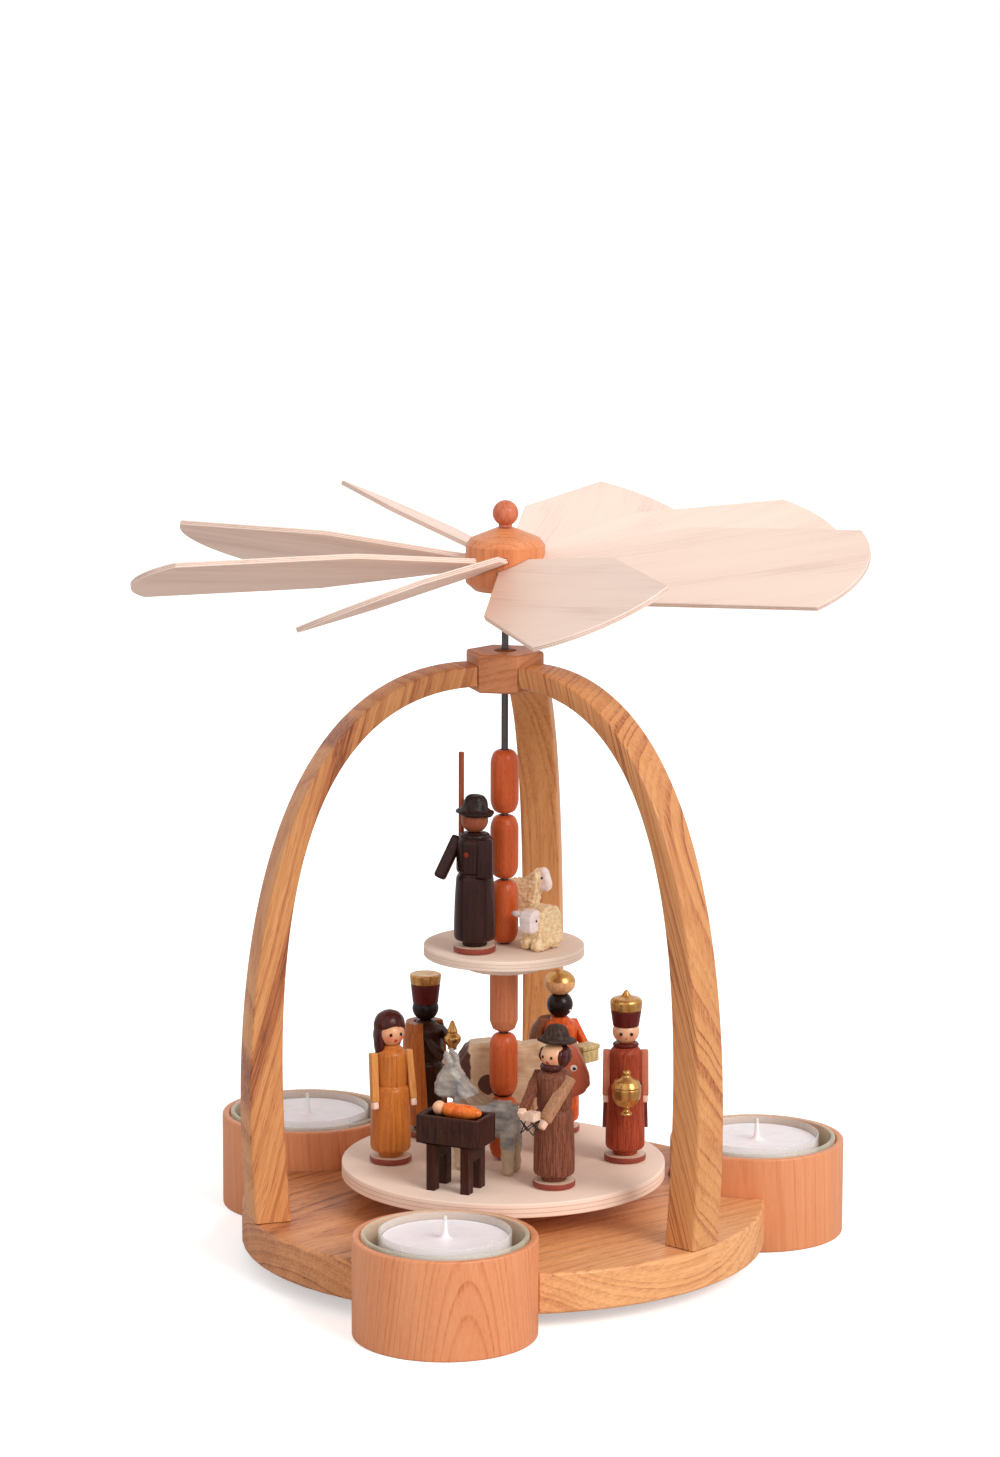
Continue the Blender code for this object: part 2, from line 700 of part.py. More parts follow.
def figure_body(chest_radius=CHEST_RADIUS):
    """The turned body of a standing figure, from its foot to the top of its neck."""
    profile = [
        (0, 0),
        (FOOT_RADIUS, 0),
        (FOOT_RADIUS, FOOT_THICK),
        (NECKING_RADIUS, FOOT_THICK),
        (NECKING_RADIUS, SKIRT_START),
        (SKIRT_RADIUS - SKIRT_ROUND, SKIRT_START),
        (SKIRT_RADIUS, SKIRT_START + SKIRT_ROUND),
        (CHEST_RADIUS, WAIST_AT - WAIST_GROOVE),
        (WAIST_RADIUS, WAIST_AT),
        (chest_radius, WAIST_AT + WAIST_GROOVE),
        (chest_radius, CHEST_TOP),
        (COLLAR_NECK_RADIUS, NECK_TOP),
        (0, NECK_TOP),
    ]
    return turned(profile, FIGURE_SIDES)


def figure_point(shares):
    """A point on a figure, in shares of its height to the neck."""
    return Vector(shares) * NECK_TOP


def arms(right_hand, left_hand, chest_radius=CHEST_RADIUS):
    """Two straight arms, from the shoulders at -X and +X to the hands' places in shares."""
    reach = chest_radius + ARM_RADIUS - ARM_SINK
    pairs = ((-reach, figure_point(right_hand)), (reach, figure_point(left_hand)))
    return [
        tapered_rod(Vector((out, 0, SHOULDER_AT)), hand, ARM_RADIUS, ARM_RADIUS, ARM_SIDES)
        for out, hand in pairs
    ]


def mirrored(hand):
    return [flip * share for flip, share in zip(MIRROR_SHARES, hand)]


def stand_on(floor, radius, bearing, facing):
    """A place on a disc's top, at a radius and bearing in degrees, looking along another bearing."""
    spot = math.radians(bearing)
    return on_bearing(spot, radius, floor + SEAT_GAP, math.radians(facing))


def head_place(place):
    return place @ Matrix.Translation((0, 0, NECK_TOP + SEAT_GAP))


def face_profile():
    """A round head standing on its own origin, up to the brow."""
    return [
        (0, 0),
        (FACE_RADIUS * HALF, 0),
        (FACE_RADIUS, FACE_HEIGHT * HALF),
        (FACE_RADIUS, FACE_HEIGHT),
    ]


# The mother: long hair down her back, straight arms
MOTHER_RADIUS = 34.5 * MM
MOTHER_BEARING = -73.8
MOTHER_FACING = 36.6
HAIR_RADIUS = 5.1 * MM
HAIR_HEIGHT = 10.7 * MM
HAIR_BACK = 0.8 * MM
HAIR_FALL = 1.6 * MM
MOTHER_HAND_SHARES = (0.154, -0.093, 0.527)


def make_mother():
    place = stand_on(LOWER_DISC_TOP, MOTHER_RADIUS, MOTHER_BEARING, MOTHER_FACING)
    forms = [figure_body(SLIM_CHEST_RADIUS)]
    forms += arms(mirrored(MOTHER_HAND_SHARES), MOTHER_HAND_SHARES, SLIM_CHEST_RADIUS)
    joined("mother_body", forms, OCHRE, place)
    head = ellipsoid(
        (0, 0, FACE_HEIGHT * HALF), (FACE_RADIUS, FACE_RADIUS, FACE_HEIGHT * HALF), HEAD_SIDES, 8
    )
    middle = (HAIR_HEIGHT + HAIR_FALL) * HALF
    hair = ellipsoid(
        (0, HAIR_BACK, middle),
        (HAIR_RADIUS, HAIR_RADIUS - HAIR_BACK * HALF, HAIR_HEIGHT - middle),
        HEAD_SIDES,
        8,
    )
    joined("mother_head", [head, hair], SKIN, head_place(place))


# The father: brimmed hat, both arms forward to a lantern
FATHER_RADIUS = 33.1 * MM
FATHER_BEARING = 38.9
FATHER_FACING = -23.4
FATHER_HAND_SHARES = (0.06, -0.261, 0.56)
BRIM_RADIUS = 5.7 * MM
BRIM_AT = 6.6 * MM
BRIM_THICK = 1.0 * MM
HAT_RADIUS = 3.5 * MM
HAT_TOP_RADIUS = 2.5 * MM
HAT_HEIGHT = 4.6 * MM
LANTERN_RADIUS = 3.4 * MM
LANTERN_HEIGHT = 7.0 * MM
LANTERN_SHARES = (0, -0.297, 0.39)
LANTERN_SIDES = 4


def hat_head():
    """A face under a brimmed hat, as one turned piece."""
    profile = face_profile()[:-1] + [
        (FACE_RADIUS, BRIM_AT),
        (BRIM_RADIUS, BRIM_AT),
        (BRIM_RADIUS, BRIM_AT + BRIM_THICK),
        (HAT_RADIUS, BRIM_AT + BRIM_THICK + BRIM_THICK * HALF),
        (HAT_TOP_RADIUS, BRIM_AT + HAT_HEIGHT),
        (0, BRIM_AT + HAT_HEIGHT + BRIM_THICK * HALF),
    ]
    return turned(profile, HEAD_SIDES)


def make_father():
    """The lantern hangs from his hands, one piece with them."""
    place = stand_on(LOWER_DISC_TOP, FATHER_RADIUS, FATHER_BEARING, FATHER_FACING)
    forms = [figure_body()] + arms(mirrored(FATHER_HAND_SHARES), FATHER_HAND_SHARES)
    bottom = figure_point(LANTERN_SHARES)
    top = bottom + AXIS_Z * LANTERN_HEIGHT
    forms.append(tapered_rod(bottom, top, LANTERN_RADIUS, LANTERN_RADIUS, LANTERN_SIDES))
    joined("father_body", forms, GREY_BROWN, place)
    solid("father_head", hat_head(), GREY_BROWN, head_place(place))


# The three kings: tall hats, capes and gifts
KING_RADIUS = 37.2 * MM
CROWN_AT = 5.6 * MM
CROWN_HEIGHT = 9.0 * MM
CROWN_RADIUS = 4.9 * MM
CROWN_FINIAL = 2.8 * MM
CROWN_FINIAL_RADIUS = 1.2 * MM
TURBAN_RADIUS = 5.1 * MM
TURBAN_HEIGHT = 8.6 * MM
TURBAN_RISE = 1.8 * MM
TURBAN_SHARES = ((1, 0.22), (1, 0.6), (0.5, 0.9), (0, 1))
CAPE_RADIUS = 7.0 * MM
CAPE_HEM = 7.7 * MM
CAPE_BACK = 1.2 * MM
CAPE_FRONT_SHARE = 0.1
GIFT_SIDES = 12
URN_PROFILE_SHARES = ((0.45, 0), (0.2, 0.2), (0.55, 0.28), (1, 0.55), (0.5, 0.78), (0.25, 0.82))
URN_RADIUS = 4.9 * MM
URN_HEIGHT = 14.4 * MM
CENSER_RADIUS = 2.7 * MM
CENSER_HEIGHT = 9.0 * MM
CHEST_LENGTH = 8.4 * MM
CHEST_DEPTH = 5.0 * MM
CHEST_HEIGHT = 5.6 * MM


def crown_head(finial):
    """A face under a crown that widens upwards, with a finial or a flat top."""
    top = CROWN_AT + CROWN_HEIGHT
    profile = face_profile()[:-1] + [(FACE_RADIUS, CROWN_AT), (CROWN_RADIUS, top)]
    if finial:
        profile += [(CROWN_FINIAL_RADIUS, top + CROWN_FINIAL * HALF), (0, top + CROWN_FINIAL)]
    else:
        profile.append((0, top))
    return turned(profile, HEAD_SIDES)


def turban_head():
    """A face under a round turban."""
    low = CROWN_AT + TURBAN_RISE
    profile = face_profile()[:-1] + [(FACE_RADIUS, CROWN_AT), (FACE_RADIUS, low)]
    for share, up in TURBAN_SHARES:
        profile.append((TURBAN_RADIUS * share, low + TURBAN_HEIGHT * up))
    return turned(profile, HEAD_SIDES)


def cape():
    """A turned cloak over the shoulders, cut away in front of the figure and solid inside."""
    profile = [
        (0, CAPE_HEM),
        (CAPE_RADIUS, CAPE_HEM),
        (CHEST_RADIUS + CAPE_BACK * HALF, SHOULDER_AT),
        (COLLAR_NECK_RADIUS, NECK_TOP - CAPE_BACK),
        (0, NECK_TOP - CAPE_BACK),
    ]
    form = turned(profile, FIGURE_SIDES)
    geometry = form.verts[:] + form.edges[:] + form.faces[:]
    cut_line = bmesh.ops.bisect_plane(
        form,
        geom=geometry,
        plane_co=(0, -CAPE_RADIUS * CAPE_FRONT_SHARE, 0),
        plane_no=(0, -1, 0),
        clear_outer=True,
    )["geom_cut"]
    rim = [part for part in cut_line if isinstance(part, bmesh.types.BMEdge)]
    bmesh.ops.contextual_create(form, geom=rim)
    return moved(form, Matrix.Translation((0, CAPE_BACK, 0)))


def urn():
    """A footed urn with a lid knob, turned from shares of its radius and height."""
    profile = [(0, 0)]
    profile += [(URN_RADIUS * wide, URN_HEIGHT * tall) for wide, tall in URN_PROFILE_SHARES]
    profile.append((0, URN_HEIGHT))
    return turned(profile, GIFT_SIDES)


def censer():
    """A small pointed vessel."""
    middle = CENSER_HEIGHT * HALF
    profile = [
        (0, 0),
        (CENSER_RADIUS * HALF, 0),
        (CENSER_RADIUS, middle * HALF),
        (CENSER_RADIUS, middle),
        (CENSER_RADIUS * HALF, middle + middle * HALF),
        (0, CENSER_HEIGHT),
    ]
    return turned(profile, GIFT_SIDES)


def gift_box():
    half_length = CHEST_LENGTH * HALF
    half_depth = CHEST_DEPTH * HALF
    outline = [
        (-half_length, -half_depth),
        (half_length, -half_depth),
        (half_length, half_depth),
        (-half_length, half_depth),
    ]
    return prism(outline, 0, CHEST_HEIGHT)


# Each king's name, bearing, facing, chest, and his right hand, left hand and gift as shares
KINGS = (
    (
        "king_left",
        -127.6,
        46.6,
        CHEST_RADIUS,
        (0.016, -0.308, 0.676),
        (0.093, -0.264, 0.835),
        (0.06, -0.319, 0.764),
    ),
    (
        "king_right",
        163.6,
        56.6,
        CHEST_RADIUS,
        (-0.088, -0.258, 0.698),
        (0.088, -0.258, 0.698),
        (0, -0.302, 0.626),
    ),
    (
        "king_front",
        101.6,
        11.6,
        SLIM_CHEST_RADIUS,
        (-0.176, -0.011, 0.538),
        (0.176, -0.011, 0.538),
        (0, -0.272, 0.412),
    ),
)


def make_kings():
    surfaces = (DARK_BROWN, ORANGE_RED, RED_BROWN)
    heads = (crown_head(False), turban_head(), crown_head(True))
    head_surfaces = (DARK_BROWN, GOLD, RED_BROWN)
    gifts = (censer(), gift_box(), urn())
    for index, (name, bearing, facing, chest, right_hand, left_hand, gift) in enumerate(KINGS):
        place = stand_on(LOWER_DISC_TOP, KING_RADIUS, bearing, facing)
        carried = moved(gifts[index], Matrix.Translation(figure_point(gift)))
        forms = [figure_body(chest), cape(), carried]
        forms += arms(right_hand, left_hand, chest)
        joined(name + "_body", forms, surfaces[index], place)
        solid(name + "_head", heads[index], head_surfaces[index], head_place(place))


# The shepherd on the upper disc, with a hat and a staff at the shoulder
SHEPHERD_RADIUS = 13.9 * MM
SHEPHERD_BEARING = -27.9
SHEPHERD_FACING = -3.4
SHEPHERD_HAND_SHARES = (-0.264, -0.126, 0.621)
SHEPHERD_FAR_HAND_SHARES = (0.176, 0, 0.566)
STAFF_RADIUS = 0.85 * MM
STAFF_FOOT_SHARES = (-0.154, 0.135, 0.769)
STAFF_LENGTH = 31.6 * MM
STAFF_SIDES = 8
GRIP_SHARES = (-0.135, 0.107, 0.852)
GRIP_RADIUS = 1.9 * MM


def make_shepherd():
    place = stand_on(UPPER_DISC_TOP, SHEPHERD_RADIUS, SHEPHERD_BEARING, SHEPHERD_FACING)
    staff_foot = figure_point(STAFF_FOOT_SHARES)
    staff_top = staff_foot + AXIS_Z * STAFF_LENGTH
    grip = figure_point(GRIP_SHARES)
    forms = [
        figure_body(),
        *arms(SHEPHERD_HAND_SHARES, SHEPHERD_FAR_HAND_SHARES),
        ellipsoid(grip, (GRIP_RADIUS, GRIP_RADIUS, GRIP_RADIUS), ARM_SIDES, 4),
        tapered_rod(staff_foot, staff_top, STAFF_RADIUS, STAFF_RADIUS, STAFF_SIDES),
    ]
    joined("shepherd_body", forms, DARK_BROWN, place)
    solid("shepherd_head", hat_head(), DARK_BROWN, head_place(place))


# The manger: a trough on two notched boards, and the infant in it
MANGER_RADIUS = 34.8 * MM
MANGER_BEARING = -12.5
MANGER_FACING = -13.4
TROUGH_LENGTH = 20.5 * MM
TROUGH_WIDTH = 12.5 * MM
TROUGH_LOW = 16.0 * MM
TROUGH_HIGH = 24.6 * MM
TROUGH_WALL = 1.6 * MM
TROUGH_FLOOR = 20.6 * MM
LEG_SPREAD = 14.0 * MM
LEG_BOARD = 2.8 * MM
LEG_WIDTH = 12.0 * MM
LEG_NOTCH = 4.6 * MM
LEG_NOTCH_HEIGHT = 11.0 * MM
INFANT_LENGTH = 13.8 * MM
INFANT_RADIUS = 2.3 * MM
INFANT_HEAD_RADIUS = 2.1 * MM
INFANT_CHIN = 1.4 * MM


def box(length, width, low, high):
    """An upright bmesh block centred on the Z axis."""
    half_length = length * HALF
    half_width = width * HALF
    outline = [
        (-half_length, -half_width),
        (half_length, -half_width),
        (half_length, half_width),
        (-half_length, half_width),
    ]
    return prism(outline, low, high)


def make_manger():
    place = stand_on(LOWER_DISC_TOP, MANGER_RADIUS, MANGER_BEARING, MANGER_FACING)
    trough = solid("manger", box(TROUGH_LENGTH, TROUGH_WIDTH, TROUGH_LOW, TROUGH_HIGH), DARK_BROWN)
    for side in (-1, 1):
        offset = Matrix.Translation((side * (LEG_SPREAD - LEG_BOARD) * HALF, 0, 0))
        join(trough, box(LEG_BOARD, LEG_WIDTH, 0, TROUGH_LOW + TROUGH_WALL), offset)
    hollow_length = TROUGH_LENGTH - TROUGH_WALL - TROUGH_WALL
    hollow_width = TROUGH_WIDTH - TROUGH_WALL - TROUGH_WALL
    cut(trough, box(hollow_length, hollow_width, TROUGH_FLOOR, TROUGH_HIGH + CUT_OVERRUN))
    cut(trough, box(TROUGH_LENGTH, LEG_NOTCH, -CUT_OVERRUN, LEG_NOTCH_HEIGHT))
    trough.matrix_world = place
    rest = TROUGH_FLOOR + SEAT_GAP + INFANT_RADIUS
    half = INFANT_LENGTH * HALF
    swaddle_middle = INFANT_HEAD_RADIUS - INFANT_CHIN * HALF
    forms = [
        ellipsoid(
            (swaddle_middle, 0, rest),
            (half - swaddle_middle, INFANT_RADIUS, INFANT_RADIUS),
            HEAD_SIDES,
            8,
        ),
        ellipsoid(
            (INFANT_HEAD_RADIUS - half, 0, rest + INFANT_HEAD_RADIUS - INFANT_RADIUS),
            (INFANT_HEAD_RADIUS, INFANT_HEAD_RADIUS, INFANT_HEAD_RADIUS),
            HEAD_SIDES,
            8,
        ),
    ]
    joined("infant", forms, ORANGE_RED, place)


# Animals: side outlines in shares of length and height, from the tail to the nose
OX_SHARES = (
    (0.02, 0),
    (0.13, 0),
    (0.17, 0.42),
    (0.6, 0.4),
    (0.64, 0),
    (0.75, 0),
    (0.79, 0.5),
    (0.88, 0.55),
    (1, 0.5),
    (1, 0.6),
    (0.93, 0.96),
    (0.82, 1),
    (0.6, 0.94),
    (0.3, 1),
    (0.06, 0.95),
    (0, 0.8),
)
DONKEY_SHARES = (
    (0.03, 0),
    (0.15, 0),
    (0.19, 0.32),
    (0.62, 0.31),
    (0.66, 0),
    (0.78, 0),
    (0.82, 0.5),
    (0.97, 0.6),
    (1, 0.7),
    (0.9, 0.84),
    (0.88, 1),
    (0.78, 0.96),
    (0.76, 0.82),
    (0.62, 0.66),
    (0.4, 0.58),
    (0.06, 0.6),
    (0, 0.5),
)
LYING_SHEEP_SHARES = (
    (0.06, 0),
    (0.74, 0),
    (0.78, 0.4),
    (0.96, 0.42),
    (1, 0.86),
    (0.86, 0.96),
    (0.4, 1),
    (0.06, 0.86),
    (0, 0.4),
)
STANDING_SHEEP_SHARES = (
    (0.05, 0),
    (0.2, 0),
    (0.24, 0.3),
    (0.56, 0.3),
    (0.6, 0),
    (0.74, 0),
    (0.8, 0.5),
    (0.86, 0.66),
    (1, 0.66),
    (1, 0.78),
    (0.9, 0.96),
    (0.76, 1),
    (0.62, 0.8),
    (0.1, 0.76),
    (0, 0.6),
)
LEG_SLOT_SHARE = 0.28
LEG_SLOT_WIDTH_SHARE = 0.3
ANIMAL_EDGE_SHARE = 0.16

OX_LENGTH = 38.0 * MM
OX_HEIGHT = 35.4 * MM
OX_WIDTH = 9.6 * MM
OX_RADIUS = 11.7 * MM
DONKEY_LENGTH = 25.0 * MM
DONKEY_HEIGHT = 36.6 * MM
DONKEY_WIDTH = 8.4 * MM
DONKEY_RADIUS = 13.9 * MM
LYING_SHEEP_LENGTH = 13.4 * MM
LYING_SHEEP_HEIGHT = 13.4 * MM
LYING_SHEEP_WIDTH = 8.6 * MM
LYING_SHEEP_RADIUS = 12.8 * MM
STANDING_SHEEP_LENGTH = 18.0 * MM
STANDING_SHEEP_HEIGHT = 21.8 * MM
STANDING_SHEEP_WIDTH = 7.4 * MM
STANDING_SHEEP_RADIUS = 13.4 * MM


def carve(name, shares, surface, length, height, width, place):
    """An animal split from a turned ring of its outline, with eased edges and a slot between its legs."""
    outline = [((along - HALF) * length, up * height) for along, up in shares]
    form = prism(outline, -width * HALF, width * HALF)
    edge = width * ANIMAL_EDGE_SHARE * HALF
    bmesh.ops.bevel(form, geom=form.edges[:], offset=edge, segments=1, affect="EDGES")
    stand_up = Matrix(((0, 0, -1, 0), (-1, 0, 0, 0), (0, 1, 0, 0), (0, 0, 0, 1)))
    beast = solid(name, moved(form, stand_up), surface)
    slot = box(width * LEG_SLOT_WIDTH_SHARE, length + width, -CUT_OVERRUN, height * LEG_SLOT_SHARE)
    cut(beast, slot)
    beast.data.shade_smooth()
    beast.data.set_sharp_from_angle(angle=EDGE_SHARP)
    beast.matrix_world = place


def make_animals():
    place = stand_on(LOWER_DISC_TOP, OX_RADIUS, 169, 101)
    carve("ox", OX_SHARES, BEIGE, OX_LENGTH, OX_HEIGHT, OX_WIDTH, place)
    place = stand_on(LOWER_DISC_TOP, DONKEY_RADIUS, -18.7, -102.6)
    carve("donkey", DONKEY_SHARES, GREY, DONKEY_LENGTH, DONKEY_HEIGHT, DONKEY_WIDTH, place)
    place = stand_on(UPPER_DISC_TOP, LYING_SHEEP_RADIUS, 67.9, -30)
    carve(
        "sheep_lying",
        LYING_SHEEP_SHARES,
        WOOL,
        LYING_SHEEP_LENGTH,
        LYING_SHEEP_HEIGHT,
        LYING_SHEEP_WIDTH,
        place,
    )
    place = stand_on(UPPER_DISC_TOP, STANDING_SHEEP_RADIUS, 166, 87)
    carve(
        "sheep_standing",
        STANDING_SHEEP_SHARES,
        WOOL,
        STANDING_SHEEP_LENGTH,
        STANDING_SHEEP_HEIGHT,
        STANDING_SHEEP_WIDTH,
        place,
    )


make_base_board()
make_bearing()
make_candle_holders()
make_arches()
make_arch_block()
make_guide_bush()
make_spindle()
make_discs()
make_beads()
make_hub()
make_knob()
make_blades()
make_mother()
make_father()
make_kings()
make_shepherd()
make_manger()
make_animals()
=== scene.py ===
import math

import bmesh
import bpy
from mathutils import Matrix, Vector, noise


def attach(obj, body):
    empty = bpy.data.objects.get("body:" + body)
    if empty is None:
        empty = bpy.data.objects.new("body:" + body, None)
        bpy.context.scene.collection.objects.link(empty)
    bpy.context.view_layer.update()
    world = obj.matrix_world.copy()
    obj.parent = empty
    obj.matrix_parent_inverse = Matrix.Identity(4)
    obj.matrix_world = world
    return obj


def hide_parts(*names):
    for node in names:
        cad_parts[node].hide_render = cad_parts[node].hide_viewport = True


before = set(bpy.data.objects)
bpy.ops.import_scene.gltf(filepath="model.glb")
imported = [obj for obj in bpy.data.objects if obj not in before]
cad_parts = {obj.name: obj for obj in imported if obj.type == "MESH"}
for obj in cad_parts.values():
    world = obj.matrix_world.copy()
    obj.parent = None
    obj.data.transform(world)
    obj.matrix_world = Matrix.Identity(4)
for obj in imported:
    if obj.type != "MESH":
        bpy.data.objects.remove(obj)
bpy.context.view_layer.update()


# The base board: a round disc of oiled, strongly grained wood, 12 mm thick, sawn round and
# scalloped in three places for the candle holders. Its edges are broken with sandpaper.
MM = 0.001


def paint(seen):
    """A #rrggbb colour as the shader's own numbers."""
    parts = [int(seen[at:at + 2], 16) / 255 for at in (1, 3, 5)]
    return (*(c / 12.92 if c <= 0.04045 else ((c + 0.055) / 1.055) ** 2.4 for c in parts), 1.0)


class Wire:
    """A socket in a node tree. Arithmetic on it adds Math nodes, and node() adds any other node."""

    def __init__(self, tree, socket=None):
        self.tree = tree
        self.socket = socket

    def node(self, kind, settings=None, values=None, out=0):
        """One node of the tree's own family: its settings, then its sockets' values or links."""
        family = "GeometryNode" if self.tree.type == "GEOMETRY" else "ShaderNode"
        made = self.tree.nodes.new(kind if "Node" in kind else family + kind)
        for name, setting in (settings or {}).items():
            if name == "stops":
                stops = made.color_ramp.elements
                for _ in setting[2:]:
                    stops.new(1.0)
                for stop, (at, colour) in zip(stops, setting):
                    stop.position, stop.color = at, paint(colour)
            else:
                setattr(made, name, setting)
        for key, value in (values or {}).items():
            if isinstance(value, Wire):
                self.tree.links.new(value.socket, made.inputs[key])
            else:
                made.inputs[key].default_value = paint(value) if str(value)[0] == "#" else value
        return Wire(self.tree, made.outputs[out])

    def sum(self, operation, *values):
        return self.node("ShaderNodeMath", {"operation": operation}, dict(enumerate(values)))

    def __add__(self, other):
        return self.sum("ADD", self, other)

    def __sub__(self, other):
        return self.sum("SUBTRACT", self, other)

    def __mul__(self, other):
        return self.sum("MULTIPLY", self, other)

    def __truediv__(self, other):
        return self.sum("DIVIDE", self, other)

    def __pow__(self, other):
        return self.sum("POWER", self, other)

    def __rsub__(self, other):
        return self.sum("SUBTRACT", other, self)

    __radd__ = __add__
    __rmul__ = __mul__

    def step(self, low, high):
        """0 below low, 1 above high, smooth between; low may be the larger one."""
        first, last = sorted((low, high))
        ease = {"interpolation_type": "SMOOTHSTEP"}
        rise = self.node("MapRange", ease, {0: self, 1: first, 2: last})
        return rise if low < high else 1 - rise

    def own(self):
        """The place in mm that the surface's own attribute keeps, from before its piece was placed."""
        return self.node("Attribute", {"attribute_name": "own"}, None, "Vector")

    def spot(self, own=False, turn=(0, 0, 0), away=(0, 0, 0)):
        """The surface's place in mm in its object, or as its own attribute keeps it, turned and moved."""
        place = self.own() if own else self.node("TexCoord", None, None, "Object")
        moves = {"Location": away, "Rotation": turn, "Scale": (1.0 if own else 1 / MM,) * 3}
        return self.node("Mapping", None, {"Vector": place, **moves})

    def cloud(self, stretch, detail=2.0, out="Fac"):
        """Noise over a vector wire, with its own fineness along each axis."""
        grid = self.node("VectorMath", {"operation": "MULTIPLY"}, {0: self, 1: stretch})
        return self.node("TexNoise", None, {"Vector": grid, "Scale": 1.0, "Detail": detail}, out)

    def tint(self, factor, first, second):
        """Two colours mixed by a factor."""
        return self.node("Mix", {"data_type": "RGBA"}, {0: factor, 6: first, 7: second}, 2)

    def parts(self):
        """The three numbers of a vector wire."""
        first = self.node("ShaderNodeSeparateXYZ", None, {0: self})
        return [Wire(self.tree, socket) for socket in first.socket.node.outputs]

    def into(self, socket):
        """Joins the wire to one of the surface shader's sockets."""
        self.tree.links.new(self.socket, self.tree.nodes["Principled BSDF"].inputs[socket])

    def relief(self, strength, distance):
        """Joins the wire to the surface shader's normal, as heights of a bump."""
        values = {"Strength": strength, "Distance": distance, "Height": self}
        self.node("Bump", None, values, "Normal").into("Normal")


def finish(name, constants):
    """A new material with some of its shader's own sockets set, and a wire to add nodes from."""
    material = bpy.data.materials.new(name)
    material.use_nodes = True
    for socket, value in constants.items():
        material.node_tree.nodes["Principled BSDF"].inputs[socket].default_value = value
    return material, Wire(material.node_tree)


def timber(name, colours, grain, face, pith, ring, wander=1.0, figure=0.8, streak=0.35, pores=0.4, roughness=0.42,
           swirl=(0.03, 0.03, 0.009), late=(0.3, 0.95), painted_shade=(0, 0.0), stops=(0.0, 0.4, 0.75, 1.0)):
    """Solid wood with its growth rings laid through it, so every face shows its own cut.

    grain points along the trunk, face towards its middle, which is pith away, in mm. painted_shade is
    where a painted shade starts to grow darker across, and by how much each mm.
    """
    material, wire = finish(name, {"Specular IOR Level": 0.4})
    along = Vector(grain).normalized()
    across = (Vector(face) - along * Vector(face).dot(along)).normalized()
    turn = Matrix((across, along.cross(across), along)).to_euler()
    board = wire.spot(False, turn, (-pith[0], -pith[1], 0.0))
    drift = board.cloud(swirl, 2.5, "Color")
    bend = {0: drift, 1: (wander * 6,) * 3, 2: board}
    bent = board.node("VectorMath", {"operation": "MULTIPLY_ADD"}, bend)
    across_x, across_y, _ = bent.parts()
    reach = (across_x * across_x + across_y * across_y) ** 0.5 / ring
    season = {"noise_dimensions": "1D"}
    growth = reach.node("TexNoise", season, {"W": reach * 0.45, "Scale": 1.0, "Detail": 2.0})
    year = reach + growth * 2.2
    part = year.sum("FRACT", year)
    luck = year.node("TexWhiteNoise", season, {"W": year - part}, "Value")
    fibre = bent.cloud((1.5, 1.5, 0.03), 4.0)
    band = part.step(*late) * part.step(1.0, 0.9) * (luck * 0.75 + 0.25) * (fibre * 1.1 + 0.45)
    broad = board.cloud((0.16, 0.16, 0.01), 2.0)
    pore = bent.cloud((4.2, 4.2, 0.16), 2.0).step(0.56, 0.7)
    depth = band * figure + (fibre - 0.5) * streak + (broad - 0.5) * 0.45 + pore * pores + 0.14
    # A painted shade: the colour grows darker across the piece beyond a line, by so much each mm.
    depth = depth + (across_y - painted_shade[0]) * painted_shade[1]
    depth.node("ValToRGB", {"stops": list(zip(stops, colours))}, {"Fac": depth}).into("Base Color")
    (roughness + (fibre - 0.5) * 0.25 + pore * 0.15).into("Roughness")
    (fibre * 0.5 - pore * 0.8).relief(0.5, 0.00004)
    return material


def from_mesh(mesh):
    """A bmesh from a mesh, in millimetres, with its doubles merged and its flat faces whole."""
    form = bmesh.new()
    form.from_mesh(mesh)
    form.transform(Matrix.Scale(1 / MM, 4))
    bmesh.ops.remove_doubles(form, verts=form.verts, dist=0.002)
    bmesh.ops.dissolve_limit(form, angle_limit=math.radians(1), verts=form.verts, edges=form.edges)
    return form


def piece(name, form, material, body, stands_for=(), place=None, crease=38, bevel=None):
    """Turns a bmesh in millimetres into a finished piece in metres, that rides on a body."""
    bmesh.ops.recalc_face_normals(form, faces=form.faces)
    if form.verts.layers.float_vector.get("own") is None:
        own = form.verts.layers.float_vector.new("own")
        for vertex in form.verts:
            vertex[own] = vertex.co
    form.transform(Matrix.Scale(MM, 4) @ (place or Matrix()))
    mesh = bpy.data.meshes.new(name)
    form.to_mesh(mesh)
    form.free()
    mesh.shade_smooth()
    mesh.set_sharp_from_angle(angle=math.radians(crease))
    mesh.materials.append(material)
    thing = bpy.data.objects.new(name, mesh)
    bpy.context.scene.collection.objects.link(thing)
    if bevel:
        edge = thing.modifiers.new("Bevel", "BEVEL")
        edge.limit_method = "ANGLE"
        edge.width, edge.segments, edge.angle_limit, edge.harden_normals = bevel
    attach(thing, body)
    if stands_for:
        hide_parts(*stands_for)


BOARD_TOP = 17.3
SANDED = (0.0005, 3, 0.6, True)  # a bevel's width, segments, least angle, and whether flat faces stay flat
# The board's wood is painted darker across towards one side, a painted shade.
board_wood = timber(
    "board wood", ("#f0b076", "#d28d5b", "#b47046", "#824a2e"),
    grain=(math.cos(math.radians(55)), math.sin(math.radians(55)), 0.05), face=(0.3, -0.2, -1), pith=(62, 30),
    ring=2.1, wander=0.8, figure=0.42, streak=0.7, pores=0.34, roughness=0.45, painted_shade=(-90, 0.0042),
    stops=(0.0, 0.45, 0.75, 1.0))
piece("board", from_mesh(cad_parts["base_board"].data), board_wood, "stand", ["base_board"],
      bevel=SANDED)


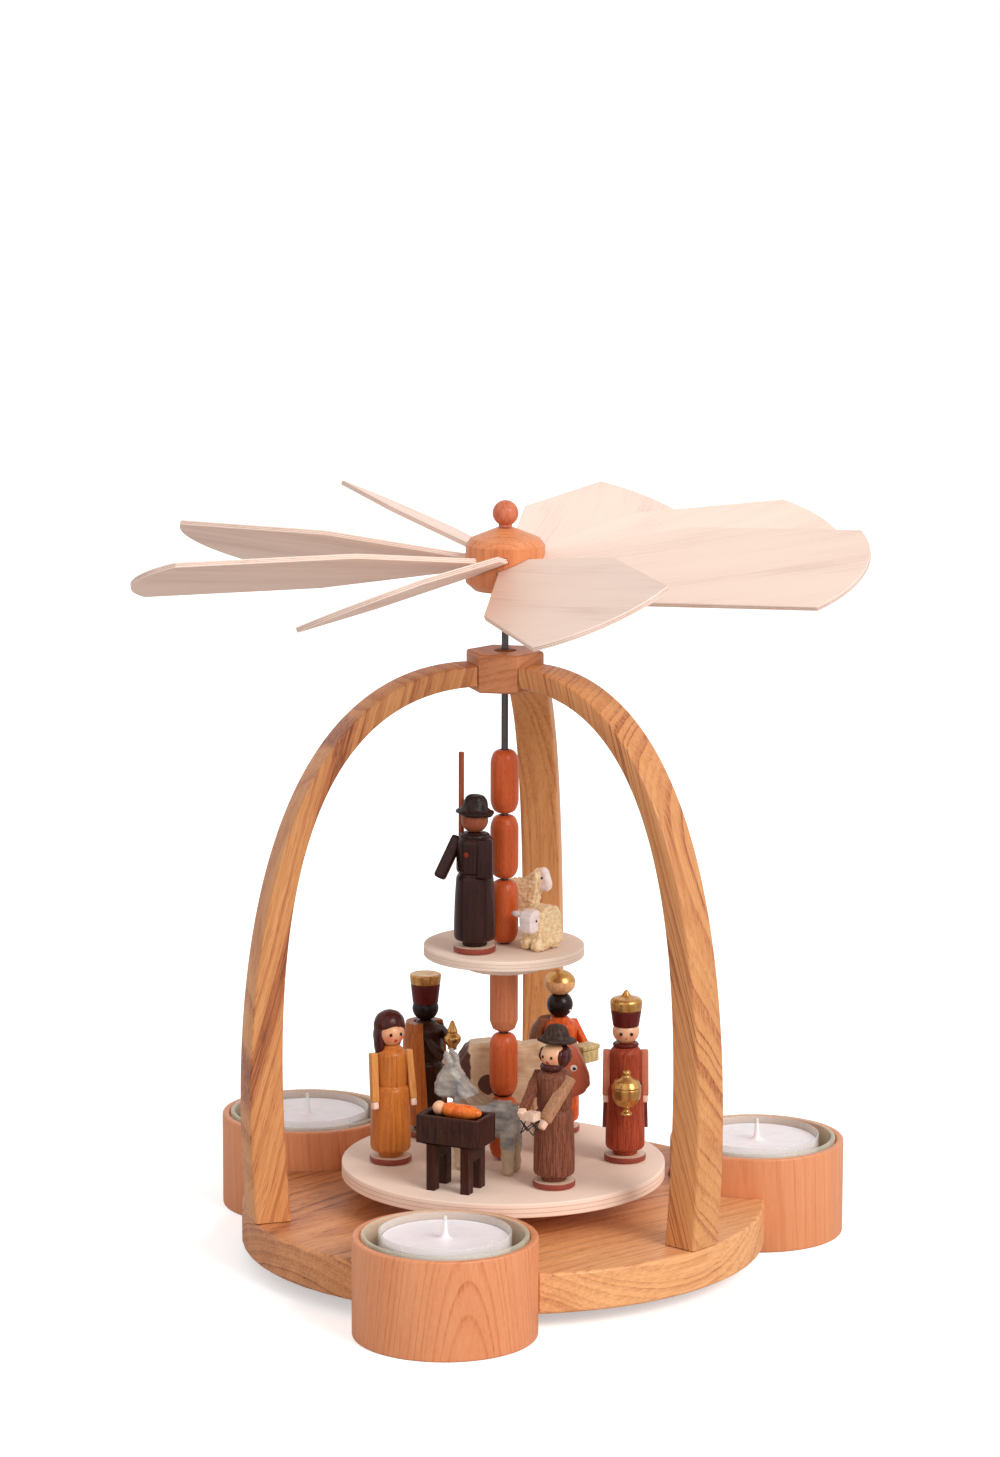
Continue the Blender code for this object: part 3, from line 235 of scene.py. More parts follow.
# The spindle's bearing: a small turned brass cup with a flange, pressed into the board's middle.
def eased(profile, radius, steps=3):
    """The profile with each corner rounded."""
    points = [Vector(point) for point in profile]
    soft = [points[0]]
    for before, corner, after in zip(points, points[1:], points[2:]):
        back, ahead = before - corner, after - corner
        start = corner + back.normalized() * min(radius, back.length * 0.45)
        end = corner + ahead.normalized() * min(radius, ahead.length * 0.45)
        for step in range(steps + 1):
            share = step / steps
            soft.append(start.lerp(corner, share).lerp(corner.lerp(end, share), share))
    return [tuple(point) for point in soft + [points[-1]]]


def turned(profile, sides=64, ease=0.0, steps=3, closed=False):
    """A bmesh spun about Z from (radius, height) points in mm, pole to pole or round a closed section."""
    form = bmesh.new()
    rings = []
    for radius, height in eased(profile, ease, steps) if ease else profile:
        turns = [2 * math.pi * step / sides for step in range(sides)] if radius > 1e-6 else [0.0]
        rings.append([form.verts.new((radius * math.cos(t), radius * math.sin(t), height)) for t in turns])
    for low, high in zip(rings, rings[1:] + rings[:1] if closed else rings[1:]):
        for step in range(sides):
            after = (step + 1) % sides
            corners = [low[step % len(low)], low[after % len(low)], high[after % len(high)], high[step % len(high)]]
            corners = list(dict.fromkeys(corners))
            if len(corners) > 2:
                form.faces.new(corners)
    return form


def metal(name, colour, roughness, brushed=(0.4, 0.4, 6.0)):
    """Turned or drawn metal with fine tool marks."""
    material, wire = finish(name, {"Metallic": 1.0})
    mark = wire.spot().cloud(brushed, 3.0)
    dark = (*(c * 0.72 for c in paint(colour)[:3]), 1.0)
    wire.tint(mark.step(0.35, 0.75), colour, dark).into("Base Color")
    (roughness + (mark - 0.5) * 0.2).into("Roughness")
    mark.relief(0.3, 0.00002)
    return material


brass = metal("turned brass", "#d6b26e", 0.3)
cup = [(0, 10.3), (3.6, 10.3), (3.6, 17.6), (5.2, 17.6), (5.2, 18.6), (2.6, 18.6), (0, 12.5)]
piece("bearing", turned(cup, 40, 0.25), brass, "stand", ["spindle_bearing"])


# The candle holders: three cups turned from a pinkish, close-grained wood, standing on the table
# and glued into the board's scallops. Each has a flat-bottomed bore for its glass.
HOLDER_RING = 83.2
CANDLES = (("front", 0), ("right", 120), ("left", 240))
HOLDER_CUTS = {  # how far the trunk's middle is to the side, its lean, the pith's distance, the rings' width
    "front": (-0.25, -0.2, -33.0, 2.0), "right": (0.5, -0.03, 24.0, 1.2), "left": (-0.9, 0.04, 40.0, 1.3)}


def on_bearing(bearing, radius=0.0, height=0.0, facing=None):
    """A place in mm at a bearing in degrees from the front; its own -Y looks along the facing."""
    spot = Matrix.Rotation(math.radians(bearing), 4, "Z") @ Vector((0, -radius, height))
    look = math.radians(bearing if facing is None else facing)
    return Matrix.Translation(spot) @ Matrix.Rotation(look, 4, "Z")


holder_section = [(0, 0), (27, 0), (27, 29.6), (24.8, 29.6), (24.8, 11.9), (0, 11.9)]
for name, bearing in CANDLES:
    aside, lean, pith, ring = HOLDER_CUTS[name]
    centre = on_bearing(bearing, HOLDER_RING).translation
    inward = Vector((math.sin(aside - 0.2), math.cos(aside - 0.2), 0))
    grain = (Vector((0, 0, 1)) + inward * lean).normalized()
    across = (inward - grain * inward.dot(grain)).normalized()
    cherry = timber(
        "holder wood " + name, ("#e4996b", "#d98759", "#c67046", "#a05030"),
        grain=grain, face=inward, pith=(centre.dot(across) + pith, centre.dot(grain.cross(across))),
        ring=ring, wander=0.22, figure=0.45, streak=0.5, pores=0.2, roughness=0.4, late=(0.55, 0.95))
    piece("holder_wood_" + name, turned(holder_section, 96, 0.7), cherry, "stand", ["holder_" + name],
          on_bearing(bearing, HOLDER_RING))


# The glass inserts: clear pressed-glass cups, faintly green at the rim, loose in the holders'
# bores so that spilt wax never reaches the wood.
def clear(name, pale, second, thin, thick):
    """Thin clear glass: more to be seen of it where it is looked at along its wall."""
    material, wire = finish(name, {"IOR": 1.45})
    ripple = wire.spot().cloud((0.12, 0.12, 0.3), 2.0)
    wire.tint(ripple, pale, second).into("Base Color")
    edge = wire.node("LayerWeight", None, {"Blend": 0.5}, "Facing")
    (edge * edge * (thick - thin) + thin).into("Alpha")
    (0.03 + ripple * 0.04).into("Roughness")
    ripple.relief(0.25, 0.0003)
    return material


glass = clear("insert glass", "#f6f5e0", "#ecebce", 0.2, 0.68)
glass_section = [(0, 12.2), (24.4, 12.2), (24.4, 30.3), (23.0, 30.3), (23.0, 13.7), (0, 13.7)]
for name, bearing in CANDLES:
    piece("glass_cup_" + name, turned(glass_section, 96, 0.6, 4), glass, "glass_" + name,
          ["glass_insert_" + name], on_bearing(bearing, HOLDER_RING))


# The tealights: white wax cast in a thin clear cup. The wax has drawn up a little cone round the
# wick, which is a stiff waxed cotton thread.
clear_cup = clear("clear cup", "#fcf8f6", "#f2eee8", 0.24, 0.66)

wax, wire = finish("candle wax", {"Subsurface Weight": 0.25, "Subsurface Scale": 0.004, "IOR": 1.43})
mottle = wire.spot().cloud((0.25, 0.25, 0.25), 4.0)
wire.tint(mottle.step(0.35, 0.7), "#faf1f4", "#f5ebee").into("Base Color")
(0.32 + mottle * 0.2).into("Roughness")
mottle.relief(0.3, 0.0001)

wick_thread, wire = finish("waxed thread", {"Roughness": 0.6})
twist = wire.spot().cloud((2.0, 2.0, 4.0), 2.0)
wire.tint(twist, "#f0eee8", "#d6d2c8").into("Base Color")

cup_section = [(0, 14.0), (19.2, 14.0), (19.3, 31.0), (18.85, 31.0), (18.8, 14.5), (0, 14.5)]
wax_section = [(0, 14.8), (18.4, 14.8), (18.5, 28.9), (18.0, 28.6), (7.0, 28.4), (2.4, 28.6), (1.1, 29.3),
               (0.75, 31.0), (0.65, 34.0), (0, 34.2)]
wick_section = [(0, 33.6), (0.55, 33.6), (0.6, 35.3), (0, 35.5)]
for name, bearing in CANDLES:
    place = on_bearing(bearing, HOLDER_RING)
    piece("tealight_shell_" + name, turned(cup_section, 72, 0.2), clear_cup, "tealight_" + name,
          ["tealight_cup_" + name], place)
    piece("candle_" + name, turned(wax_section, 72, 0.8, 4), wax, "tealight_" + name,
          ["tealight_wax_" + name], place)
    piece("wick_" + name, turned(wick_section, 12, 0.2), wick_thread, "tealight_" + name, (), place)


# The arches: three legs sawn from straight boards and rounded over, each on the board's edge and
# glued into the block above. The grain runs up the foot and is cut across where the leg bends in.
def tree_with(name, inputs):
    """A Geometry Nodes tree with named inputs: a wire to add nodes from, and its inputs as wires."""
    tree = bpy.data.node_groups.new(name, "GeometryNodeTree")
    sockets = [("Geometry", "INPUT", "Geometry"), ("Geometry", "OUTPUT", "Geometry")]
    for label, way, kind in sockets + [(label, "INPUT", kind) for label, kind in inputs]:
        tree.interface.new_socket(label, in_out=way, socket_type="NodeSocket" + kind)
    start = tree.nodes.new("NodeGroupInput")
    return Wire(tree), {socket.name: Wire(tree, socket) for socket in start.outputs if socket.name}


def ends_with(geometry, finish):
    """Ends a tree: its instances made real, and its material set."""
    real = geometry.node("RealizeInstances", None, {"Geometry": geometry})
    done = geometry.node("SetMaterial", None, {"Geometry": real, "Material": finish})
    geometry.tree.links.new(done.socket, geometry.tree.nodes.new("NodeGroupOutput").inputs[0])


def changed(source, change):
    """The plain bmesh that a bmesh becomes under the modifiers that change() gives its object."""
    mesh = bpy.data.meshes.new("source")
    if source is not None:
        source.to_mesh(mesh)
        source.free()
    thing = bpy.data.objects.new("source", mesh)
    bpy.context.scene.collection.objects.link(thing)
    change(thing)
    result = bpy.data.meshes.new_from_object(thing.evaluated_get(bpy.context.evaluated_depsgraph_get()))
    form = bmesh.new()
    form.from_mesh(result)
    thing.modifiers.clear()
    bpy.data.objects.remove(thing)
    return form


def grown(tree, values, source=None):
    """What a tree makes from a bmesh and its inputs' values."""
    def grow(thing):
        change = thing.modifiers.new("Grow", "NODES")
        change.node_group = tree
        for item in tree.interface.items_tree:
            if item.in_out == "INPUT" and item.name in values:
                change[item.identifier] = values[item.name]
    return changed(source, grow)


ENDS = ("foot", "foot pull", "top pull", "top")
SIDES = ("Outer", "Inner")
start, given = tree_with("bent leg", [(f"{side} {end}", "Vector") for side in SIDES for end in ENDS]
                         + [("Width", "Float"), ("Edge", "Float"), ("Stations", "Int"), ("Wood", "Material")])
rail = start.node("CurvePrimitiveLine", None, {"Start": (0, 0, 0), "End": (0, 0, 1)})
rail = start.node("ResampleCurve", None, {"Curve": rail, "Count": given["Stations"]})
section = start.node("CurvePrimitiveQuadrilateral", None, {"Width": given["Width"], "Height": 10.0})
rounding = {"Curve": section, "Count": 3, "Radius": given["Edge"]}
section = start.node("FilletCurve", {"mode": "POLY"}, rounding)
tube = start.node("CurveToMesh", None, {"Curve": rail, "Profile Curve": section, "Fill Caps": True})
at_x, at_y, at_z = start.node("InputPosition").parts()
samples = []
for side in SIDES:
    points = {key: given[f"{side} {end}"] for key, end in zip(("Start", "Start Handle", "End Handle", "End"), ENDS)}
    curve = start.node("CurvePrimitiveBezierSegment", {"mode": "POSITION"}, {"Resolution": 64, **points})
    samples.append(start.node("SampleCurve", {"mode": "FACTOR"}, {"Curves": curve, "Factor": at_z}, "Position"))
blend = {0: at_y / 10 + 0.5, 4: samples[1], 5: samples[0]}
between = start.node("ShaderNodeMix", {"data_type": "VECTOR"}, blend, 1)
aside = start.node("ShaderNodeCombineXYZ", None, {"X": at_x})
loft = start.node("ShaderNodeVectorMath", {"operation": "ADD"}, {0: between, 1: aside})
ends_with(start.node("SetPosition", None, {"Geometry": tube, "Position": loft}), given["Wood"])


def leg_curve(foot_radius, lean, foot_pull, top_pull, top_height):
    """Foot, its pull, the top's pull and the top, in a leg's own plane."""
    foot = Vector((0, -foot_radius, BOARD_TOP + 0.3))
    top = Vector((0, -10.69, top_height))
    away = math.radians(lean)
    return foot, foot + Vector((0, -math.sin(away), math.cos(away))) * foot_pull, top - Vector((0, top_pull, 0)), top


leg_sides = leg_curve(80.0, 5.0, 74.4, 63.9, 183.5), leg_curve(68.8, 5.2, 79.4, 59.2, 177.3)
# The last column deepens a leg's colour: on the left leg partly its redder wood, partly painted shade.
LEGS = {
    # bearing, turn, grain's inward lean, side cut, rings' width, their wander, figure, depth of colour
    "right": (60, 0.0, 0.34, 0.45, 1.6, 0.45, 0.66, 0.0),
    "back": (180, 2.4, 0.1, 30.0, 3.0, 0.5, 0.5, 0.03),
    "left": (300, 0.0, 0.28, 0.1, 4.2, 0.55, 0.55, 0.13),
}
for name, (bearing, turn, lean, aslant, ring, wander, figure, tone_and_shade) in LEGS.items():
    away = Vector((math.sin(math.radians(bearing)), -math.cos(math.radians(bearing)), 0))
    # The colour stops move down by the leg's depth: partly the wood's own tone, partly painted shade.
    leg_wood = timber(
        "leg wood " + name, ("#de9e64", "#ce8a54", "#b46b3f", "#7e4426"),
        grain=Vector((0, 0, 1)) - away * lean, face=Vector((away.y, -away.x, 0)) * aslant - away, pith=(150, 12),
        ring=ring, wander=wander, figure=figure, streak=0.7, pores=0.34, swirl=(0.05, 0.05, 0.016),
        stops=(0.0, 0.35 - tone_and_shade, 0.7 - tone_and_shade, 1.0 - tone_and_shade))
    values = {"Width": 11.9, "Edge": 0.9, "Stations": 72, "Wood": leg_wood}
    for side, points in zip(SIDES, leg_sides):
        values.update({f"{side} {end}": tuple(point) for end, point in zip(ENDS, points)})
    top = Matrix.Translation((0, -10.39, 0))
    twist = top @ Matrix.Rotation(math.radians(turn), 4, "Z") @ top.inverted()
    piece("leg_" + name, grown(start.tree, values), leg_wood, "stand", ["arch_" + name],
          on_bearing(bearing) @ twist, crease=50)


# The block: a six-sided piece with its grain nearly level, which the three legs are glued to.
block_wood = timber(
    "block wood", ("#d08a5c", "#be764a", "#a6603a", "#82482a"),
    grain=(1.0, 0.25, 0.3), face=(0.3, 0.6, -1), pith=(60, 4), ring=2.2, wander=0.5, figure=0.4, streak=0.6, pores=0.3)
piece("block", from_mesh(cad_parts["arch_block"].data), block_wood, "stand", ["arch_block"],
      bevel=SANDED)


# The spindle: a steel rod with a turned point, which stands in the bearing and carries the whole
# carousel. It passes up through a turned bush of dull brass in the block, into the hub.
bronze = metal("dull brass", "#9e6c4c", 0.5)
lip = [(1.35, 175.4), (2.9, 175.4), (2.9, 187.3), (2.5, 187.6), (1.35, 187.6)]
piece("bush", turned(lip, 40, closed=True), bronze, "stand", ["guide_bush"])
steel = metal("drawn steel", "#5c5656", 0.32, (9.0, 9.0, 0.5))
rod = [(0, 12.8), (1.05, 15.2), (1.05, 213.8), (0, 214.1)]
piece("spindle_rod", turned(rod, 32, 0.3), steel, "rotor", ["spindle"])


# The two discs and their collars: pale plywood, bare and sanded, glued to the spindle. Their
# edges show the plies, and their tops the outer veneer's faint figure.
PLIES = 3


def plywood(name, pale, line, low, thick, grain, own=False):
    """Veneers glued crosswise: lines between the plies on the edge, faint figure on the faces."""
    material, wire = finish(name, {"Specular IOR Level": 0.25})
    board = wire.spot(own, (0, 0, -math.atan2(grain[1], grain[0])))
    layer = (board.parts()[2] - low) / (thick / PLIES)
    part = layer.sum("FRACT", layer)
    seam = part.step(0.14, 0.0) + part.step(0.86, 1.0)
    inside = (layer - PLIES / 2).sum("ABSOLUTE", layer - PLIES / 2)
    seam = seam * inside.step(PLIES / 2 - 0.1, PLIES / 2 - 0.4)
    crossed = (layer * 0.5).sum("FRACT", layer * 0.5).step(0.48, 0.52)
    fibre = board.cloud((0.03, 1.8, 1.8), 4.0)
    figure = board.cloud((0.012, 0.09, 0.05), 3.0)
    fleck = board.cloud((0.5, 3.0, 3.0), 2.0).step(0.62, 0.75)
    depth = (fibre - 0.5) * 0.28 + (figure - 0.5) * 0.55 + fleck * 0.08 + seam * 0.8 + crossed * 0.14 + 0.4
    stops = [(0.0, pale[0]), (0.5, pale[1]), (1.0, line)]
    depth.node("ValToRGB", {"stops": stops}, {"Fac": depth}).into("Base Color")
    (0.6 + (fibre - 0.5) * 0.2).into("Roughness")
    (fibre - seam).relief(0.35, 0.00003)
    return material


# The lower disc and collar take a lighter copy of the upper discs' plywood, painted light.
lit_lower_pale = ("#fce6d5", "#f5d9c6")
upper_pale = ("#f4dfd0", "#ead2c0")
for name, node, pale, radius, low, thick in (
        ("lower_plate", "lower_disc", lit_lower_pale, 49.4, 25.0, 4.4),
        ("lower_ring", "lower_collar", lit_lower_pale, 11.8, 21.0, 3.7),
        ("upper_ring", "upper_collar", upper_pale, 11.8, 89.7, 3.7),
        ("upper_plate", "upper_disc", upper_pale, 24.4, 93.7, 3.3)):
    ply = plywood("ply " + name, pale, "#d6b49d", low, thick, (0.4, 1.0))
    section = [(1.35, low), (radius, low), (radius, low + thick), (1.35, low + thick)]
    piece(name, turned(section, 128, 0.45, closed=True), ply, "rotor", [node])


# The beads: barrel-shaped, stained a warm red and lacquered, threaded on the spindle three below
# and three above the upper disc.
start, given = tree_with("threaded beads", [
    ("Count", "Int"), ("Start", "Vector"), ("Pitch", "Vector"), ("Turn", "Float"), ("Finish", "Material")])
thread = {"Count": given["Count"], "Start Location": given["Start"], "Offset": given["Pitch"]}
thread = start.node("MeshLine", None, thread)
spin = start.node("ShaderNodeCombineXYZ", None, {"Z": start.node("InputIndex") * given["Turn"]})
spin = start.node("FunctionNodeEulerToRotation", None, {"Euler": spin})
strung = {"Points": thread, "Instance": given["Geometry"], "Rotation": spin}
ends_with(start.node("InstanceOnPoints", None, strung), given["Finish"])


def stained(name, pale, dark, roughness=0.35, coat=0.25, streak=(1.4, 1.4, 0.05), contrast=1.0, flecks=0.3, own=True):
    """Stained and lacquered turned wood: upright streaks and short flecks under a thin coat."""
    gloss = {"Coat Roughness": 0.22, "Coat Weight": coat * 0.3, "Specular IOR Level": 0.12}
    material, wire = finish(name, gloss)
    board = wire.spot(own)
    fibre = board.cloud(streak, 4.0)
    fine = board.cloud(tuple(s * 3 for s in streak), 2.0)
    fleck = board.cloud((3.2, 3.2, 0.7), 2.0).step(0.58, 0.72)
    depth = ((fibre - 0.5) * 1.5 + (fine - 0.5) * 0.5) * contrast + fleck * flecks + 0.42
    wire.tint(depth.step(0.0, 1.0), pale, dark).into("Base Color")
    (roughness + (fibre - 0.5) * 0.2).into("Roughness")
    (fibre - fleck * 0.5).relief(0.5, 0.00003)
    return material


barrel = [(1.35, 0.3), (1.9, 0.1), (3.4, 0.9), (4.3, 3.4), (4.3, 16.3), (3.4, 18.8), (1.9, 19.6), (1.35, 19.4)]
cut_flat = barrel[:5] + [(4.2, 19.7), (1.35, 19.7)]
red = stained("bead stain", "#de6834", "#b04822", 0.3, 0.9, own=False, contrast=0.55)
plain = stained("plain bead", "#d8865c", "#b66844", 0.4, 0.3, own=False, contrast=0.8)
for name, low, nodes, colour, section, ease in (
        ("beads_lower", 29.7, ["lower_bead_1", "lower_bead_2"], red, barrel, 1.1),
        ("bead_under_disc", 69.7, ["lower_bead_3"], plain, cut_flat, 0.3),
        ("beads_upper", 97.3, ["upper_bead_1", "upper_bead_2", "upper_bead_3"], red, barrel, 1.1)):
    values = {"Count": len(nodes), "Start": (0, 0, low), "Pitch": (0, 0, 20.0), "Turn": 1.3, "Finish": colour}
    form = grown(start.tree, values, turned(section, 48, ease, 4, closed=True))
    piece(name, form, colour, "rotor", nodes)


# The hub: a turned knob of the same pinkish wood with eight saw cuts round it for the blades, and
# a round ball on a little neck for its finial. It lifts off the spindle.
hub_wood = timber(
    "hub wood", ("#e29260", "#d68150", "#c06c3e", "#944a2a"),
    grain=(0.03, 0.02, 1.0), face=(0.3, -1, 0), pith=(-60, 5), ring=1.6, wander=0.2, figure=0.5, streak=0.8,
    pores=0.25, roughness=0.38)
piece("hub_wood", from_mesh(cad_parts["hub"].data), hub_wood, "wing_wheel", ["hub"], crease=15)
knob_red = stained("knob stain", "#d8805e", "#b65c40", 0.3, 0.6, own=False)
ball = [(3.9 * math.sin(math.radians(a)), 228.5 - 3.9 * math.cos(math.radians(a))) for a in range(36, 180, 8)]
ball = [(0, 224.4), (2.1, 224.4), (2.0, 225.3), *ball, (0, 232.4)]
piece("finial", turned(ball, 40), knob_red, "wing_wheel", ["knob"])


# The blades: eight paddles cut from thin birch plywood, bare, glued into the hub's saw cuts by
# hand, so each has its own bearing, rise and tilt.
BLADES = ((26.0, -0.4, 22.0), (77.4, 2.4, 24.5), (127.6, 1.4, 22.0), (164.8, 1.8, 21.6),
          (210.4, 2.0, 24.0), (249.0, -1.0, 23.0), (299.6, -0.4, 20.0), (349.2, 1.0, 22.6))
start, given = tree_with("wing wheel", [
    ("Height", "Float"), ("Finish", "Material"), *((f"Turn {n + 1}", "Vector") for n in range(8))])
centre = start.node("ShaderNodeCombineXYZ", None, {"Z": given["Height"]})
points = start.node("MeshLine", None, {"Count": 8, "Start Location": centre, "Offset": (0, 0, 0)})
index = start.node("InputIndex")
chosen = given["Turn 1"]
for number in range(1, 8):
    at_least = {"data_type": "INT", "operation": "GREATER_EQUAL"}
    beyond = index.node("FunctionNodeCompare", at_least, {2: index, 3: number})
    either = {"Switch": beyond, "False": chosen, "True": given[f"Turn {number + 1}"]}
    chosen = start.node("Switch", {"input_type": "VECTOR"}, either)
chosen = start.node("FunctionNodeEulerToRotation", None, {"Euler": chosen})
kept = {"Geometry": given["Geometry"], "Name": "own", "Value": start.node("InputPosition")}
blades = start.node("StoreNamedAttribute", {"data_type": "FLOAT_VECTOR", "domain": "POINT"}, kept)
blades = start.node("InstanceOnPoints", None, {"Points": points, "Instance": blades, "Rotation": chosen})
ends_with(blades, given["Finish"])

SHOULDER, HALF, CORNER, TIP = 52, 21, 106, 114
tip_radius = (HALF**2 + (TIP - CORNER)**2) / (2 * (TIP - CORNER))
reach = math.asin(HALF / tip_radius)
tip = [(TIP - tip_radius + tip_radius * math.cos(a), tip_radius * math.sin(a))
       for a in (reach * (step / 12 - 1) for step in range(25))]
outline = [(9.9, -5.4), (11.9, -5.4), (SHOULDER, -HALF), *tip, (SHOULDER, HALF), (11.9, 5.4), (9.9, 5.4)]
blade = bmesh.new()
face = blade.faces.new([blade.verts.new((x, y, -0.8)) for x, y in outline])
lifted = bmesh.ops.extrude_face_region(blade, geom=[face])["geom"]
bmesh.ops.translate(blade, verts=[v for v in lifted if isinstance(v, bmesh.types.BMVert)], vec=(0, 0, 1.6))
bmesh.ops.recalc_face_normals(blade, faces=blade.faces)
blade_pale = ("#fee6d6", "#f6daca")
blade_ply = plywood("blade ply", blade_pale, "#a07466", -0.8, 1.6, (0.95, 0.3), own=True)
turns = {}
for number, (bearing, rise, tilt) in enumerate(BLADES, start=1):
    facing = Matrix.Rotation(math.radians(bearing) - math.pi / 2, 4, "Z")
    pitched = facing @ Matrix.Rotation(-math.radians(rise), 4, "Y") @ Matrix.Rotation(math.radians(tilt), 4, "X")
    turns[f"Turn {number}"] = tuple(pitched.to_euler())
form = grown(start.tree, {"Height": 213.5, "Finish": blade_ply, **turns}, blade)
piece("blades", form, blade_ply, "wing_wheel", [f"blade_{n + 1}" for n in range(8)],
      bevel=(0.00022, 2, 0.7, False))


# The figures: small lathe-turned men and women of stained wood on round feet, with split-off
# arms glued on. This is their common making; each one follows with its own dress.
LOWER_FLOOR, UPPER_FLOOR = 29.7, 97.3
NECK = 36.4


def both(*forms):
    """Several bmeshes in one."""
    whole = bmesh.new()
    for form in forms:
        mesh = bpy.data.meshes.new("part")
        bmesh.ops.recalc_face_normals(form, faces=form.faces)
        form.to_mesh(mesh)
        form.free()
        whole.from_mesh(mesh)
        bpy.data.meshes.remove(mesh)
    return whole


def ball_of(centre, radii, sides=32):
    """An ellipsoid bmesh."""
    form = bmesh.new()
    shape = Matrix.Translation(centre) @ Matrix.Diagonal((*radii, 1))
    bmesh.ops.create_uvsphere(form, u_segments=sides, v_segments=sides // 2, radius=1, matrix=shape)
    return form


def lobe(x, y, up, *radii):
    """A ball of a head, its middle up from the neck."""
    return ball_of((x, y, NECK + up), radii)


def bar(start, end, wide, thick, ease=0.4):
    """A flat stick from start to end with rounded edges, wide across the figure."""
    start, end = Vector(start), Vector(end)
    along = (end - start).normalized()
    side = (Vector((1, 0, 0)) - along * along.x).normalized()
    turn = Matrix((side, along.cross(side), along)).transposed().to_4x4()
    form = bmesh.new()
    bmesh.ops.create_cube(form, size=1, matrix=Matrix.Diagonal((wide, thick, (end - start).length, 1)))
    bmesh.ops.bevel(form, geom=form.edges[:], offset=ease, segments=3, affect="EDGES", profile=0.6)
    form.transform(Matrix.Translation((start + end) / 2) @ turn)
    return form


def rod_of(start, end, radius, sides=16):
    """A round stick."""
    start, along = Vector(start), Vector(end) - Vector(start)
    form = turned([(0, 0), (radius, 0), (radius, along.length), (0, along.length)], sides, radius * 0.4)
    turn = Vector((0, 0, 1)).rotation_difference(along).to_matrix().to_4x4()
    form.transform(Matrix.Translation(start) @ turn)
    return form


def fused(forms, voxel, rough=0.0, fine=1.0, smooth=2, seed=0):
    """One carved body from overlapping forms: remeshed, smoothed, and cut about by a knife's noise."""
    def carve(thing):
        remesh = thing.modifiers.new("Remesh", "REMESH")
        remesh.mode, remesh.voxel_size = "VOXEL", voxel
        soften = thing.modifiers.new("Smooth", "SMOOTH")
        soften.factor, soften.iterations = 0.6, smooth
    form = changed(both(*forms), carve)
    if rough:
        form.normal_update()
        moves = []
        for vertex in form.verts:
            at = vertex.co * fine + Vector((seed, seed * 2.3, 0))
            moves.append(vertex.normal * rough * (noise.noise(at) + 0.5 * noise.noise(at * 2.7)))
        for vertex, move in zip(form.verts, moves):
            vertex.co += move
    return form


def hat_of(points, ease=0.0):
    """A hat turned from (radius, height over the neck) points."""
    return turned([(radius, NECK + height) for radius, height in points], 48, ease)


def felt_hat(profile, rough, fine, seed, at, lean, axis):
    """A brimmed hat of soft felt, pressed about and set on a head, leaning by some degrees."""
    hat = fused([turned(profile, 48, 0.6)], 0.3, rough, fine, seed=seed)
    hat.transform(Matrix.Translation(at) @ Matrix.Rotation(math.radians(lean), 4, axis))
    return hat


def roll(radius, height, wide, tall):
    """A thick ring of cloth round a neck."""
    turns = [math.radians(degrees) for degrees in range(0, 360, 30)]
    return turned([(radius + wide * math.cos(t), height + tall * math.sin(t)) for t in turns], 48, closed=True)


def vessel(profile, sides, at):
    """A small turned vessel, held out at a place."""
    form = turned(profile, sides, 0.4)
    form.transform(Matrix.Translation(at))
    return form


def robe(chest=5.5, hem=6.2):
    """The turned dress: a necked-in hem, a grooved waist, a chest that rounds into the neck."""
    skirt = [(0, 1.65), (3.8, 1.7), (3.8, 3.5), (hem - 0.5, 3.5), (hem, 4.6), (hem, 8.5), (hem - 0.25, 16.0)]
    bodice = [(5.6, 22.9), (4.7, 23.9), (chest, 24.6), (chest, 33.8), (chest - 0.8, 35.0)]
    return turned(skirt + bodice + [(3.1, 35.8), (2.7, 36.5), (0, 36.6)], 64, 0.7)


def enamel(name, colour, second, roughness=0.4, coat=0.2, fine=0.8, metallic=0.0):
    """Brushed-on paint over wood, uneven in depth."""
    gloss = {"Coat Weight": coat * 0.4, "Metallic": metallic, "Coat Roughness": 0.2, "Specular IOR Level": 0.15}
    material, wire = finish(name, gloss)
    stroke = wire.own().cloud((fine, fine, fine * 0.35), 4.0)
    wire.tint(stroke.step(0.3, 0.7), colour, second).into("Base Color")
    (roughness + (stroke - 0.5) * 0.3).into("Roughness")
    stroke.relief(0.4, 0.00004)
    return material


def skin(name, colour, blush):
    """A painted face: skin with pink cheeks and a red mouth, laid where the face looks forward."""
    material, wire = finish(name, {"Coat Weight": 0.25, "Coat Roughness": 0.25})
    place = wire.own()

    def patch(x, y, up, wide, soft):
        far = {0: place, 1: (x, y, NECK + up)}
        return place.node("VectorMath", {"operation": "DISTANCE"}, far, "Value").step(wide, soft)

    stroke = place.cloud((0.8, 0.8, 0.4), 3.0)
    tone = wire.tint(stroke, colour, (*(c * 0.86 for c in paint(colour)[:3]), 1.0))
    for cheek in (-2.3, 2.3):
        tone = wire.tint(patch(cheek, -4.0, 2.6, 1.9, 0.5) * 0.6, tone, blush)
    wire.tint(patch(0, -4.2, 1.9, 0.75, 0.5), tone, "#c42824").into("Base Color")
    (0.38 + (stroke - 0.5) * 0.2).into("Roughness")
    return material


